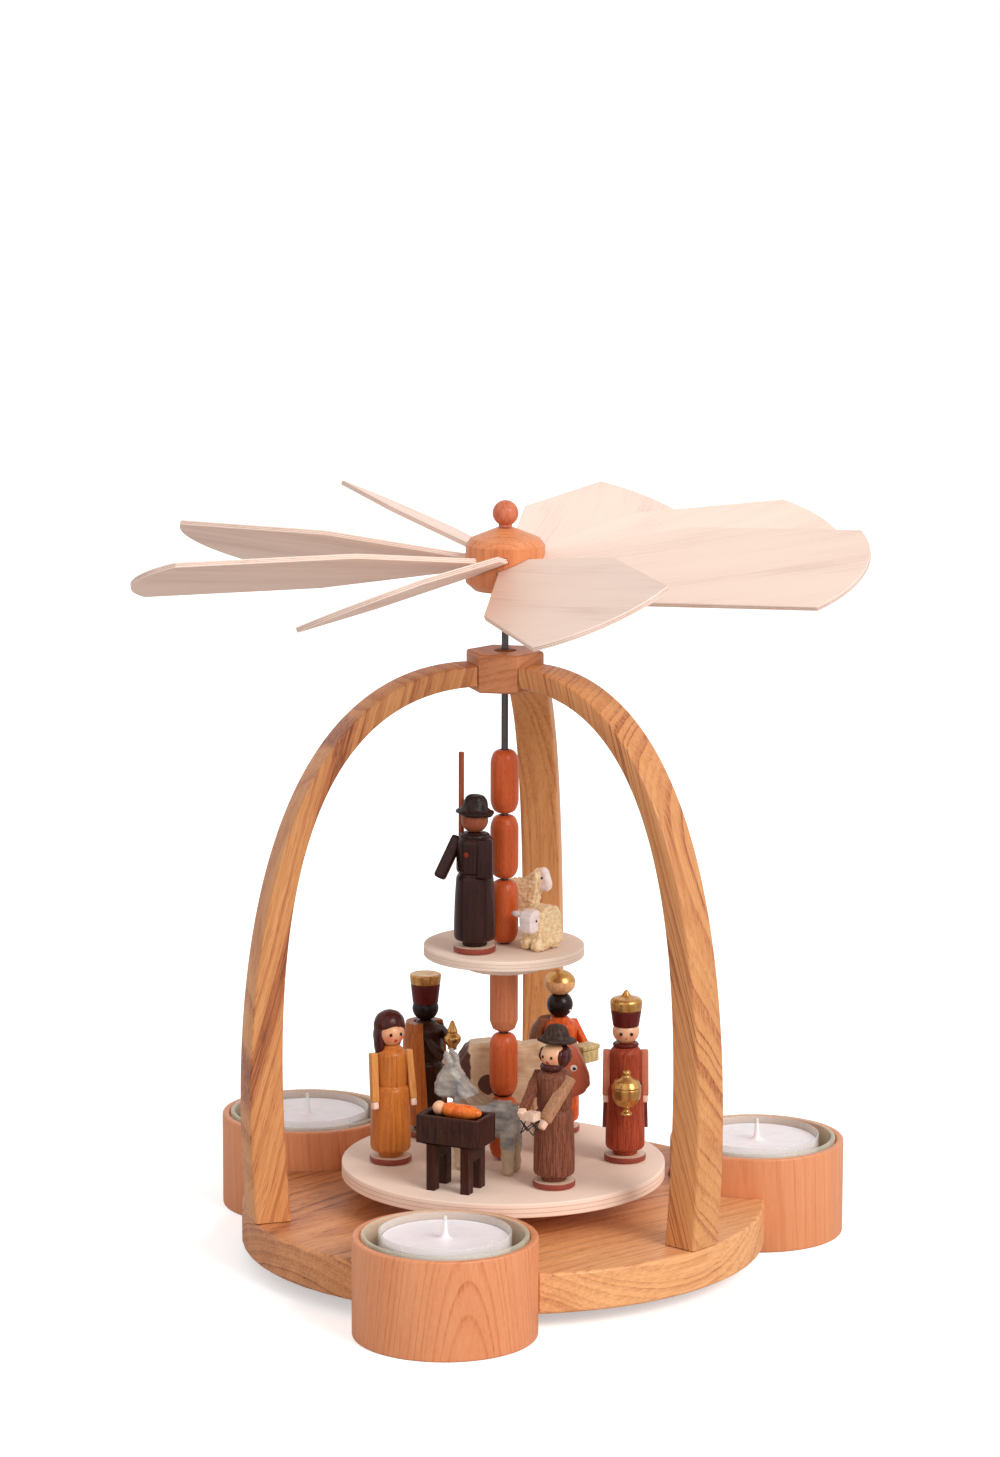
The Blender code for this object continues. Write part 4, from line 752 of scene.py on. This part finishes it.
foot_paint, wire = finish("figure foot", {})
place = wire.own()
foot_x, foot_y, _ = place.parts()
rim = ((foot_x * foot_x + foot_y * foot_y) ** 0.5).step(6.1, 6.25)
speck = place.cloud((2.0, 0.2, 2.0), 3.0)
wire.tint(rim, wire.tint(speck, "#ecceb2", "#d8b294"), "#8a3422").into("Base Color")
(0.5 - rim * 0.1).into("Roughness")
black_paint = enamel("black paint", "#1c1616", "#2c2220", 0.25, 0.5)
white_paint = enamel("white paint", "#f4eae4", "#e8d6ce", 0.45, 0.1)
gold_paint = enamel("gold paint", "#d2a060", "#b48248", 0.28, 0.1, 0.7, 0.85)
hand_paint = enamel("hand paint", "#f8d6c2", "#eabca2", 0.45, 0.1)


def stood(floor, radius, bearing, facing, turn=Matrix()):
    """The way to put pieces on one figure or animal, which stands on a disc of the rotor."""
    place = on_bearing(bearing, radius, floor, facing) @ turn

    def put(name, form, material, slot, stands_for=(), moved=Matrix(), bevel=None):
        piece(name, form, material, "rotor", stands_for, place @ moved, bevel=bevel)
    return put


def person(name, *spot):
    """A figure's foot at its spot, and the way to put its other pieces there."""
    put = stood(*spot)
    put(name + "_foot", turned([(0, 0), (6.4, 0), (6.4, 1.7), (0, 1.7)], 48, 0.3), foot_paint, "maple")
    return put


def eyes(put, name, apart, up, size, depth):
    """Two painted dots, just proud of the face."""
    dots = [ball_of((x, -depth, NECK + up), (size, 0.28, size * 1.1), 12) for x in (-apart, apart)]
    put(name + "_eyes", both(*dots), black_paint, "dark_brown")


def arm_pair(put, name, material, slot, right, left, chest, thick=2.5, wide=2.3, hand=2.2):
    """Two flat arms from the shoulders to the hands' places, and the painted hands on their ends."""
    arms, hands = [], []
    for side, at in ((-1, Vector(right)), (1, Vector(left))):
        top = Vector((side * (chest + wide * 0.36), 0, 34.3))
        along = (at - top).normalized()
        arms.append(bar(top, at - along * hand * 0.4, wide, thick, 0.45))
        hands.append(bar(at - along * hand * 0.5, at + along * hand * 0.6, wide * 0.86, thick * 0.86, 0.6))
    put(name + "_arms", both(*arms), material, slot)
    put(name + "_hands", both(*hands), hand_paint, "figure_skin")


# The mother: an ochre dress with long sleeves hanging straight, and long dark hair down her back.
put = person("mother", LOWER_FLOOR, 34.5, -73.8, 36.6)
ochre = stained("ochre dress", "#d07c36", "#a05220", 0.3, 0.6, contrast=0.8)
ochre_light = stained("ochre sleeve", "#e29c58", "#c47a3c", 0.35, 0.4, contrast=0.8)
hair_dark = stained("dark hair", "#58221c", "#280d0d", 0.22, 0.6, streak=(1.6, 1.6, 0.12))
put("mother_dress", robe(4.9), ochre, "ochre_dress", ["mother_body"])
arm_pair(put, "mother", ochre_light, "ochre_dress", (-6.3, -2.6, 18.6), (6.3, -2.6, 18.6), 4.9)
mother_skin = skin("mother skin", "#e8a476", "#e66858")
put("mother_face", lobe(0, -0.5, 3.7, 4.1, 4.0, 3.9), mother_skin, "figure_skin")
locks = [lobe(0, 0.9, 6.0, 4.9, 4.5, 4.7), lobe(0, 2.2, 2.5, 4.7, 3.2, 6.2), lobe(-3.5, 0.4, 1.8, 1.6, 2.7, 5.6),
         lobe(3.4, 0.9, 4.4, 1.4, 2.4, 3.6)]
put("mother_hair", fused(locks, 0.3, 0.12, 0.7), hair_dark, "dark_brown", ["mother_head"])
eyes(put, "mother", 1.6, 3.9, 0.52, 4.15)


# The father: a grey-brown coat, a belted skirt, a felt hat over brown hair and a scarf of beard.
# Both hands hold a small lantern of pale wood and black wire out in front.
put = person("father", LOWER_FLOOR, 33.1, 38.9, -23.4)
woven = (2.4, 2.4, 0.12)
# The two arms are lit and shaded copies of one cloth: the near arm painted lighter, the far arm in the coat's darker
# colour.
coat = stained("grey coat", "#8e5640", "#542c20", 0.5, 0.08, woven, 1.3, 0.5)
sleeve = stained("lit grey sleeve", "#c49270", "#906248", 0.5, 0.08, woven)
put("father_coat", robe(5.3), coat, "grey_brown", ["father_body"])
put("father_near_arm", bar((5.5, 0.2, 34.0), (2.3, -8.6, 22.0), 3.6, 2.7, 0.5), sleeve, "grey_brown")
put("father_far_arm", bar((-5.5, 0.2, 34.0), (-2.3, -12.8, 25.4), 2.7, 2.7, 0.5), coat, "grey_brown")
near_hand = bar((2.4, -8.4, 22.2), (1.9, -10.2, 20.0), 2.4, 2.2, 0.6)
far_hand = bar((-2.3, -12.6, 25.5), (-2.0, -14.8, 24.3), 2.2, 2.2, 0.6)
put("father_hands", both(near_hand, far_hand), hand_paint, "figure_skin")
father_skin = skin("father skin", "#eab084", "#e47a64")
put("father_face", lobe(0, -0.4, 3.6, 4.0, 3.9, 3.9), father_skin, "figure_skin")
locks = [lobe(0, 1.4, 3.4, 4.5, 3.9, 4.2), lobe(0, -1.6, 0.3, 3.6, 3.0, 1.7), lobe(-3.2, -0.6, 3.6, 1.3, 2.4, 2.4),
         lobe(3.2, -0.6, 3.6, 1.3, 2.4, 2.4)]
put("father_hair", fused(locks, 0.3, 0.2, 0.9, seed=4), hair_dark, "dark_brown")
brim = [(0, 5.9), (4.4, 5.6), (5.9, 6.3), (5.9, 7.0), (4.4, 7.2), (3.9, 7.6), (3.5, 9.9), (2.2, 11.2), (0, 11.4)]
hat = felt_hat(brim, 0.22, 0.35, 7, (0, 0.3, NECK + 1.6), -5, "X")
felt = enamel("hat felt", "#4e3a32", "#30221e", 0.6, 0.05, 1.2)
put("father_hat", hat, felt, "grey_brown", ["father_head"])
eyes(put, "father", 1.5, 3.7, 0.45, 4.0)
lantern_wood = enamel("lantern wood", "#ecceb8", "#d6b298", 0.5, 0.1)
put("lantern", bar((0, -12.7, 22.8), (0, -12.7, 25.4), 5.0, 3.8, 0.3), lantern_wood, "maple")
corners = [(-2.3, -14.4), (2.3, -14.4), (2.3, -11.0), (-2.3, -11.0)]
wires = [rod_of((*first, low), (*second, high), 0.17, 8)
         for first, second in zip(corners, corners[1:] + corners[:1]) for low, high in ((18.8, 22.8), (22.8, 18.8))]
put("lantern_wires", both(*wires), black_paint, "dark_brown")


# The three kings: tall turned hats, capes over their shoulders, and a gift of gold in the hands.
def cape_shell(spread, hem, top, low, high=35.0, thick=1.1, draw=20):
    """A curved cloak behind the figure, made as a split ring that widens downwards."""
    form = bmesh.new()
    steps, rows = 24, 10
    rims = []
    for inset in (0.0, thick):
        grid = []
        for share in (row / rows for row in range(rows + 1)):
            height = low + (high - low) * share
            radius = hem + (top - hem) * share - max(0, share - 0.86) * draw - inset + 0.5
            span = math.radians(spread) * (1 - 0.12 * share)
            grid.append([form.verts.new((radius * math.sin(t), radius * math.cos(t) + 0.3, height))
                         for t in (span * (2 * step / steps - 1) for step in range(steps + 1))])
        for below, above in zip(grid, grid[1:]):
            for step in range(steps):
                form.faces.new((below[step], below[step + 1], above[step + 1], above[step]))
        rims.append(grid[0] + [row[-1] for row in grid[1:]] + grid[-1][-2::-1] + [row[0] for row in grid[-2:0:-1]])
    outside, inside = rims
    for step in range(len(outside)):
        form.faces.new((outside[step - 1], outside[step], inside[step], inside[step - 1]))
    return form


dark_robe = stained("dark robe", "#4a281a", "#22110c", 0.32, 0.45, contrast=0.8)
dark_skin = stained("dark skin", "#261612", "#140b0a", 0.25, 0.5, contrast=0.4)
fez_red = stained("fez stain", "#68201a", "#461210", 0.3, 0.35, contrast=0.6)
put = person("king_left", LOWER_FLOOR, 37.2, -127.6, 46.6)
put("king_left_robe", robe(), dark_robe, "dark_brown", ["king_left_body"])
orange_cape = stained("orange cape", "#c47032", "#964c22", 0.35, 0.3)
put("king_left_cape", cape_shell(141, 6.7, 6.2, 4.0, 36.0, 2.4, 6), orange_cape, "red_brown",
    moved=Matrix.Rotation(math.radians(16), 4, "Z"))
arm_pair(put, "king_left", dark_robe, "dark_brown", (0.6, -10.6, 25.4), (3.4, -9.4, 30.6), 3.6)
put("king_left_face", lobe(0, 0, 3.8, 4.1, 4.1, 3.9), dark_skin, "dark_brown")
fez = hat_of([(0, 5.4), (3.9, 5.4), (4.6, 11.6), (0, 11.6)], 0.4)
put("king_left_fez", fez, fez_red, "red_brown", ["king_left_head"])
band = hat_of([(0, 11.6), (4.62, 11.6), (4.9, 14.6), (4.3, 14.8), (0, 14.5)], 0.35)
put("king_left_band", band, gold_paint, "gold_paint")
censer = [(0, 28.6), (1.5, 28.6), (1.3, 29.4), (2.7, 31.4), (2.7, 32.6), (1.5, 33.8), (1.7, 34.3), (1.0, 36.2),
          (0.5, 37.6), (0, 37.8)]
put("censer", vessel(censer, 32, (2.2, -11.6, 0.5)), gold_paint, "gold_paint")

put = person("king_right", LOWER_FLOOR, 37.2, 163.6, 56.6)
orange = enamel("orange paint", "#de6222", "#bc4418", 0.35, 0.3)
put("king_right_robe", robe(), orange, "orange_red", ["king_right_body"])
brown_cape = stained("brown cape", "#8e5838", "#623824", 0.45, 0.1)
put("king_right_cape", cape_shell(96, 7.6, 7.2, 9.0, 36.0, 3.2), brown_cape, "dark_brown",
    moved=Matrix.Translation((-1.4, 0.8, 0)))
arm_pair(put, "king_right", orange, "orange_red", (-2.6, -8.6, 26.2), (3.0, -9.0, 26.8), 4.8)
put("king_right_face", lobe(0, 0, 4.0, 4.1, 4.1, 4.2), dark_skin, "dark_brown")
arc = [(4.85 * math.cos(math.radians(a)), 11.0 + 4.0 * math.sin(math.radians(a))) for a in range(-80, 81, 10)]
edge = (0, arc[9][1])
turban_wood = stained("turban wood", "#ecb884", "#c88c5c", 0.35, 0.4, contrast=0.9)
put("king_right_turban", hat_of([(0, 7.0), *arc[:10], edge]), turban_wood, "gold_paint", ["king_right_head"])
put("king_right_dome", hat_of([edge, *arc[9:], (0, 15.0)]), gold_paint, "gold_paint")
pale_gold = enamel("pale gold", "#dcc088", "#ba9e68", 0.4, 0.15, 0.8, 0.1)
box = bar((0, -11.3, 24.2), (0, -11.3, 28.0), 7.0, 4.8, 0.3)
lid = bar((0, -11.3, 28.1), (0, -11.3, 29.6), 7.6, 5.4, 0.5)
put("gift_chest", both(box, lid), pale_gold, "gold_paint")
put("king_right_smile", ball_of((0.6, -3.95, NECK + 2.6), (0.6, 0.3, 0.35), 12), white_paint, "figure_skin")

put = person("king_front", LOWER_FLOOR, 37.2, 101.6, 11.6)
red_robe = stained("red robe", "#b04c30", "#742819", 0.42, 0.2, (2.2, 2.2, 0.1), 1.1, 0.4)
put("king_front_robe", robe(4.9, 6.0), red_robe, "red_brown", ["king_front_body"])
red_cape = stained("red cape", "#8c3e2e", "#5c241c", 0.42, 0.2)
put("king_front_cape", cape_shell(84, 6.5, 5.9, 9.6), red_cape, "red_brown")
put("king_front_collar", roll(3.2, 36.0, 0.8, 0.7), fez_red, "red_brown")
pink_sleeve = stained("pink sleeve", "#d08064", "#b05c44", 0.45, 0.15)
arm_pair(put, "king_front", pink_sleeve, "red_brown", (-5.9, -0.9, 19.4), (5.9, -0.9, 19.4), 4.9, 2.6)
king_skin = skin("king skin", "#eab086", "#e26a54")
put("king_front_face", lobe(0, 0, 3.7, 4.1, 4.1, 3.9), king_skin, "figure_skin")
crown = hat_of([(0, 5.4), (3.95, 5.4), (4.7, 10.4), (0, 10.4)], 0.35)
put("king_front_hat", crown, fez_red, "red_brown", ["king_front_head"])
band = [(0, 10.4), (4.75, 10.4), (4.9, 13.2), (4.3, 14.0), (1.7, 14.6), (1.0, 15.6), (0.5, 16.4), (0, 16.6)]
put("king_front_band", hat_of(band, 0.4), gold_paint, "gold_paint")
eyes(put, "king_front", 1.6, 3.6, 0.5, 3.9)
urn = [(0, 16.4), (1.8, 16.4), (1.8, 17.0), (0.9, 17.8), (0.9, 18.4), (3.2, 19.8), (4.3, 22.0), (4.5, 24.6),
       (4.3, 25.0), (4.6, 25.3), (4.4, 25.8), (3.6, 27.2), (1.5, 28.2), (1.1, 28.8), (1.3, 29.6), (0.8, 30.4), (0, 30.5)]
put("gift_urn", vessel(urn, 48, (0, -9.9, 0)), gold_paint, "gold_paint")


# The shepherd: a nearly black coat and hat on the upper disc, one arm thrust forward, the other
# hanging, and a thin staff over the shoulder.
put = person("shepherd", UPPER_FLOOR, 13.9, -27.9, -3.4)
shepherd_coat = stained("shepherd coat", "#3a1b16", "#190b0a", 0.3, 0.6, contrast=0.8)
put("shepherd_robe", robe(5.6, 6.3), shepherd_coat, "dark_brown", ["shepherd_body"])
near_arm = bar((-5.0, -0.2, 34.8), (-9.8, -4.8, 22.6), 3.5, 3.6, 1.2)
far_arm = bar((4.3, -4.0, 35.0), (4.6, -4.9, 23.4), 4.6, 2.4, 0.6)
put("shepherd_arms", both(near_arm, far_arm), shepherd_coat, "dark_brown")
shepherd_face = stained("shepherd face", "#9e5436", "#743824", 0.35, 0.3, contrast=0.4)
put("shepherd_head", lobe(0, -0.3, 3.7, 4.1, 4.0, 3.9), shepherd_face, "figure_skin")
brim = [(0, 4.3), (4.3, 4.1), (5.9, 4.9), (5.9, 5.6), (4.6, 5.8), (4.0, 6.3), (3.1, 9.2), (2.4, 10.3), (0, 10.5)]
hat = felt_hat(brim, 0.35, 0.3, 2, (-0.4, 0.2, NECK + 0.9), 4, "Y")
shepherd_felt = enamel("shepherd felt", "#32201b", "#1c110f", 0.45, 0.2, 1.2)
put("shepherd_hat", hat, shepherd_felt, "dark_brown", ["shepherd_head"])
put("shepherd_collar", roll(3.5, 35.2, 1.1, 1.0), shepherd_felt, "dark_brown")
staff_wood = stained("staff wood", "#b05c3e", "#843e2a", 0.45, 0.1)
put("staff", rod_of((-5.6, 4.9, 28), (-5.6, 4.9, 59.6), 0.85), staff_wood, "red_brown")
fist = [ball_of((-5.0, 3.6, 31.6), (1.8, 1.9, 1.9)), bar((-5.6, 0, 33.4), (-5.2, 4.0, 31.0), 2.4, 2.6, 0.5)]
put("shepherd_grip", fused(fist, 0.3), shepherd_coat, "dark_brown")
red_dot = enamel("red dot", "#96281e", "#781c16", 0.3, 0.4)
put("shepherd_button", ball_of((-1.2, -5.55, 30.2), (0.75, 0.4, 0.9), 16), red_dot, "red_brown")


# The manger: a trough on two notched boards, stained nearly black, and the swaddled infant in it.
put = stood(LOWER_FLOOR, 34.8, -12.5, -13.4)
crib = from_mesh(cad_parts["manger"].data)
for vertex in crib.verts:
    if vertex.co.z > 21:
        vertex.co.z -= 2.0
    elif vertex.co.z < 16.5 and abs(vertex.co.x) < 8:
        middle = math.copysign(5.6, vertex.co.x)
        vertex.co.x = middle * 1.1 + (vertex.co.x - middle) * (1.7 - vertex.co.z * 0.01)
        vertex.co.y *= 1.06 - vertex.co.z * 0.004
crib_stain = stained("crib stain", "#48261c", "#1e0f0c", 0.4, 0.25, (1.4, 1.4, 0.12), flecks=0.4)
piece("crib", crib, crib_stain, "rotor", ["manger"], bevel=(0.00035, 2, 0.6, False))
swaddle = enamel("swaddle paint", "#f48436", "#de6022", 0.3, 0.4)
wrapped = [ball_of((2.2, 0, 23.4), (6.3, 2.4, 2.3)), ball_of((-1.6, 0, 23.6), (3.2, 2.3, 2.25))]
put("swaddle", fused(wrapped, 0.25, 0.08, 0.8), swaddle, "orange_red", ["infant"])
infant_skin = enamel("infant skin", "#f6c4a0", "#e8ac84", 0.4, 0.2)
put("infant_head", ball_of((-5.4, 0, 23.8), (2.1, 2.1, 2.1)), infant_skin, "figure_skin")


# The animals: the ox and the donkey are split from a turned ring and carved by hand, then stained;
# the two sheep are cut rough all over, so that the bare wood looks like wool.
UPRIGHT = Matrix(((0, 0, -1, 0), (-1, 0, 0, 0), (0, 1, 0, 0), (0, 0, 0, 1)))  # an outline's frame: ahead, up, aside


def slab(shares, size, low, high, ease):
    """A flat shape cut from an outline in shares of length and height, between two depths."""
    form = bmesh.new()
    corners = [form.verts.new(((along - 0.5) * size[0], up * size[1], low)) for along, up in shares]
    lifted = bmesh.ops.extrude_face_region(form, geom=[form.faces.new(corners)])["geom"]
    bmesh.ops.translate(form, verts=[v for v in lifted if isinstance(v, bmesh.types.BMVert)], vec=(0, 0, high - low))
    bmesh.ops.recalc_face_normals(form, faces=form.faces)
    bmesh.ops.bevel(form, geom=form.edges[:], offset=ease, segments=3, affect="EDGES")
    return form


def four_legs(size, stations, hoof, thigh, up, inner, outer, ease):
    """Four legs, narrow at the hoof: how far each reaches behind and ahead of its station."""
    legs = []
    for at in stations:
        leg = [(at - hoof[0], 0.0), (at + hoof[1], 0.0), (at + thigh[1], up), (at - thigh[0], up)]
        legs += [slab(leg, size, low, high, ease) for low, high in ((-outer, -inner), (inner, outer))]
    return legs


def pair(x, y, aside, radii, sides=16):
    """Two small balls, one on each side of a head."""
    return both(*(ball_of((x, y, side * aside), radii, sides) for side in (-1, 1)))


def pelt(name, pale, dark, roughness=0.5, fine=0.25, masks=(), coat=0.1, depth=0.00006):
    """A carved and stained coat, with painted patches: centre, radii, colour, in the animal's frame."""
    material, wire = finish(name, {"Coat Weight": coat})
    place = wire.own()
    stroke = place.cloud((fine, fine, fine), 5.0)
    cut = place.cloud((fine * 0.4, fine * 3, fine * 2), 3.0)
    tone = wire.tint((stroke * 0.6 + cut * 0.4).step(0.34, 0.66), pale, dark)
    wobble = (stroke - 0.5) * 0.5
    for centre, radii, colour in masks:
        shares = {0: place, 1: tuple(1 / r for r in radii), 2: tuple(-c / r for c, r in zip(centre, radii))}
        local = place.node("VectorMath", {"operation": "MULTIPLY_ADD"}, shares)
        far = place.node("VectorMath", {"operation": "LENGTH"}, {0: local}, "Value")
        tone = wire.tint((far + wobble).step(1.06, 0.96), tone, colour)
    tone.into("Base Color")
    (roughness + (cut - 0.5) * 0.3).into("Roughness")
    (cut + stroke).relief(0.6, depth)
    return material


put = stood(LOWER_FLOOR, 11.7, 169, 101, UPRIGHT)
size = (38.0, 35.4)
body = [(0.0, 0.42), (0.17, 0.42), (0.6, 0.4), (0.8, 0.48), (0.84, 0.6), (0.84, 0.92), (0.72, 0.97), (0.5, 0.94),
        (0.3, 0.98), (0.08, 0.95), (0.0, 0.8)]
head = [(0.74, 0.56), (0.87, 0.47), (0.98, 0.48), (1.07, 0.55), (1.09, 0.63), (1.03, 0.8), (0.95, 0.96),
        (0.82, 0.99), (0.76, 0.9)]
forms = [slab(body, size, -4.8, 4.8, 1.0), slab(head, size, -3.9, 3.9, 1.1),
         *four_legs(size, (0.08, 0.69), (0.06, 0.05), (0.08, 0.09), 0.5, 1.4, 4.7, 0.5)]
brown = "#542e22"
spots = [((-19.0, 26.0, 0.0), (5.0, 14.0, 9.0), brown), ((16.8, 25.5, 0.0), (7.4, 11.0, 9.0), "#c45e38"),
         ((-9.5, 21.5, 5.0), (2.6, 3.0, 3.0), "#603a28"), ((-4.5, 20.5, 5.0), (3.4, 3.6, 3.0), brown),
         ((6.2, 21.2, 5.0), (3.2, 3.8, 3.0), brown), ((4, 30, -5), (5, 4, 3), brown), ((-6, 20, -5), (4, 5, 3), brown)]
ox_coat = pelt("ox coat", "#eecea8", "#d0a880", masks=spots)
put("ox_carving", fused(forms, 0.4, 0.12, 0.35, seed=1), ox_coat, "ox_beige", ["ox"])
put("ox_eyes", pair(17.0, 26.6, 3.8, (1.2, 1.1, 0.4)), white_paint, "figure_skin")
put("ox_pupils", pair(17.2, 26.5, 4.1, (0.55, 0.55, 0.3), 12), black_paint, "dark_brown")
ox_ear = stained("ox ear", "#703824", "#4c241a", 0.4, 0.2)
put("ox_ears", pair(10.6, 31.6, 4.6, (1.9, 1.1, 0.9)), ox_ear, "dark_brown")

put = stood(LOWER_FLOOR, 13.9, -18.7, -102.6, UPRIGHT)
size = (25.0, 36.6)
body = [(0.0, 0.3), (0.62, 0.31), (0.8, 0.42), (0.84, 0.6), (0.76, 0.78), (0.66, 0.7), (0.5, 0.6), (0.3, 0.58),
        (0.08, 0.6), (0.0, 0.5)]
head = [(0.72, 0.6), (0.88, 0.58), (1.06, 0.58), (1.1, 0.66), (1.0, 0.84), (0.84, 0.88), (0.7, 0.76)]
ear = [(0.8, 0.8), (0.93, 0.82), (0.96, 0.94), (0.92, 1.0), (0.83, 0.92)]
forms = [slab(body, size, -4.1, 4.1, 1.4), slab(head, size, -3.0, 3.0, 1.0),
         *(slab(ear, size, low, low + 2.0, 0.5) for low in (-3.1, 1.1)),
         *four_legs(size, (0.09, 0.72), (0.07, 0.06), (0.09, 0.11), 0.42, 0.9, 4.1, 0.6)]
tan = "#c4aa8a"
masks = [((7.5, 3.0, 0.0), (6.0, 9.0, 6.0), tan), ((-9.0, 3.0, 0.0), (5.0, 8.0, 6.0), tan),
         ((2.0, 21.6, 0.0), (7.0, 1.6, 5.0), "#8e7058")]
donkey_coat = pelt("donkey coat", "#beb4a8", "#827e7e", masks=masks)
put("donkey_carving", fused(forms, 0.35, 0.35, 0.5, seed=3), donkey_coat, "donkey_grey", ["donkey"])

fleece = pelt("fleece", "#fee6be", "#eac08c", 0.75, 0.7, coat=0.0, depth=0.00007)
lamb_face = enamel("lamb face", "#faece8", "#eed8d2", 0.5, 0.1)
put = stood(UPPER_FLOOR, 12.8, 67.9, -30, UPRIGHT)
size = (13.4, 13.4)
body = [(0.02, 0.02), (0.7, 0.02), (0.78, 0.2), (0.76, 0.7), (0.66, 0.95), (0.3, 1.0), (0.05, 0.85), (0.0, 0.4)]
forms = [slab(body, size, -4.3, 4.3, 1.0),
         slab([(0.5, 0.0), (0.86, 0.0), (0.88, 0.24), (0.55, 0.3)], size, -3.8, -0.6, 0.5),
         slab([(0.5, 0.0), (0.84, 0.0), (0.88, 0.24), (0.55, 0.3)], size, 0.6, 3.8, 0.5),
         slab([(0.66, 0.42), (0.86, 0.4), (0.9, 0.9), (0.7, 0.96)], size, -2.6, 2.6, 0.6)]
put("lamb_lying", fused(forms, 0.3, 0.42, 0.9, 1, 5), fleece, "wool", ["sheep_lying"])
muzzle = slab([(0.66, 0.42), (0.98, 0.4), (1.01, 0.82), (0.84, 0.95), (0.66, 0.92)], size, -2.8, 2.8, 0.6)
face = fused([muzzle, ball_of((5.0, 10.7, 4.2), (1.3, 1.0, 2.5), 16)], 0.25)
put("lamb_lying_face", face, lamb_face, "figure_skin")
put("lamb_lying_eyes", pair(4.6, 9.4, 2.8, (0.42, 0.42, 0.22), 10), black_paint, "dark_brown")

put = stood(UPPER_FLOOR, 13.4, 166, 87, UPRIGHT)
size = (18.0, 21.8)
body = [(0.0, 0.3), (0.56, 0.28), (0.74, 0.36), (0.8, 0.6), (0.86, 0.86), (0.76, 0.99), (0.64, 0.84), (0.5, 0.78),
        (0.1, 0.78), (0.0, 0.6)]
forms = [slab(body, size, -3.7, 3.7, 1.0),
         *four_legs(size, (0.12, 0.66), (0.06, 0.06), (0.08, 0.1), 0.38, 0.7, 3.5, 0.5)]
put("lamb_standing", fused(forms, 0.3, 0.42, 0.9, 1, 6), fleece, "wool", ["sheep_standing"])
muzzle = slab([(0.78, 0.66), (0.95, 0.62), (1.0, 0.7), (0.92, 0.94), (0.8, 0.97)], size, -2.2, 2.2, 0.5)
put("lamb_standing_face", fused([muzzle], 0.25), lamb_face, "figure_skin")
put("lamb_standing_eyes", pair(6.4, 18.2, 2.3, (0.4, 0.4, 0.2), 10), black_paint, "dark_brown")


# The table and the light: a plain pale floor that goes white to the camera but keeps the shadow,
# one broad soft lamp from the front right, a weaker one from the left, and a pale room all round.
form = bmesh.new()
bmesh.ops.create_circle(form, cap_ends=True, segments=96, radius=12.0)
mesh = bpy.data.meshes.new("floor")
form.to_mesh(mesh)
floor = bpy.data.objects.new("floor", mesh)
bpy.context.scene.collection.objects.link(floor)
pale_floor, wire = finish("pale floor", {"Roughness": 0.9, "Specular IOR Level": 0.1, "Emission Strength": 1.0})
seen = wire.node("LightPath", None, None, "Is Camera Ray")
wire.tint(seen, "#d6d4d2", "#ffffff").into("Base Color")
wire.tint(seen, "#000000", (0.45, 0.45, 0.45, 1.0)).into("Emission Color")
mesh.materials.append(pale_floor)

world = bpy.data.worlds.new("room")
bpy.context.scene.world = world
world.use_nodes = True
wire = Wire(world.node_tree)
rays = ("Is Camera Ray", "Is Glossy Ray", "Is Transmission Ray")
first, second, third = (wire.node("LightPath", None, None, ray) for ray in rays)
white = first.sum("MAXIMUM", first, second.sum("MAXIMUM", second, third))
backdrop = world.node_tree.nodes["Background"]
backdrop.inputs["Color"].default_value = (1.0, 1.0, 1.0, 1.0)
world.node_tree.links.new((white * 0.39 + 0.61).socket, backdrop.inputs["Strength"])

for name, bearing, height, strength, width in (("key", 56, 34, 1.95, 30), ("fill", -40, 30, 0.3, 60)):
    lamp = bpy.data.lights.new(name, "SUN")
    lamp.energy, lamp.angle = strength, math.radians(width)
    thing = bpy.data.objects.new(name, lamp)
    side, rise = math.radians(bearing), math.radians(height)
    towards = Vector((math.sin(side) * math.cos(rise), -math.cos(side) * math.cos(rise), math.sin(rise)))
    thing.rotation_euler = towards.to_track_quat("Z", "Y").to_euler()
    bpy.context.scene.collection.objects.link(thing)

yaw, pitch, roll_angle = math.radians(11.629), math.radians(10.284), math.radians(0.19)
ahead = Vector((-math.sin(yaw) * math.cos(pitch), math.cos(yaw) * math.cos(pitch), -math.sin(pitch)))
level = Vector((math.cos(yaw), math.sin(yaw), 0))
upright = level.cross(ahead)
right = level * math.cos(roll_angle) + upright * math.sin(roll_angle)
up = upright * math.cos(roll_angle) - level * math.sin(roll_angle)
lens = bpy.data.cameras.new("camera")
lens.lens, lens.sensor_width = 111.92, 36.0
lens.clip_start, lens.clip_end = 0.05, 60.0
camera = bpy.data.objects.new("camera", lens)
camera.matrix_world = Matrix((right, up, -ahead)).transposed().to_4x4()
camera.matrix_world.translation = (0.26864, -1.31251, 0.40628)
bpy.context.scene.collection.objects.link(camera)
bpy.context.scene.camera = camera
bpy.context.scene.view_settings.view_transform = "Standard"
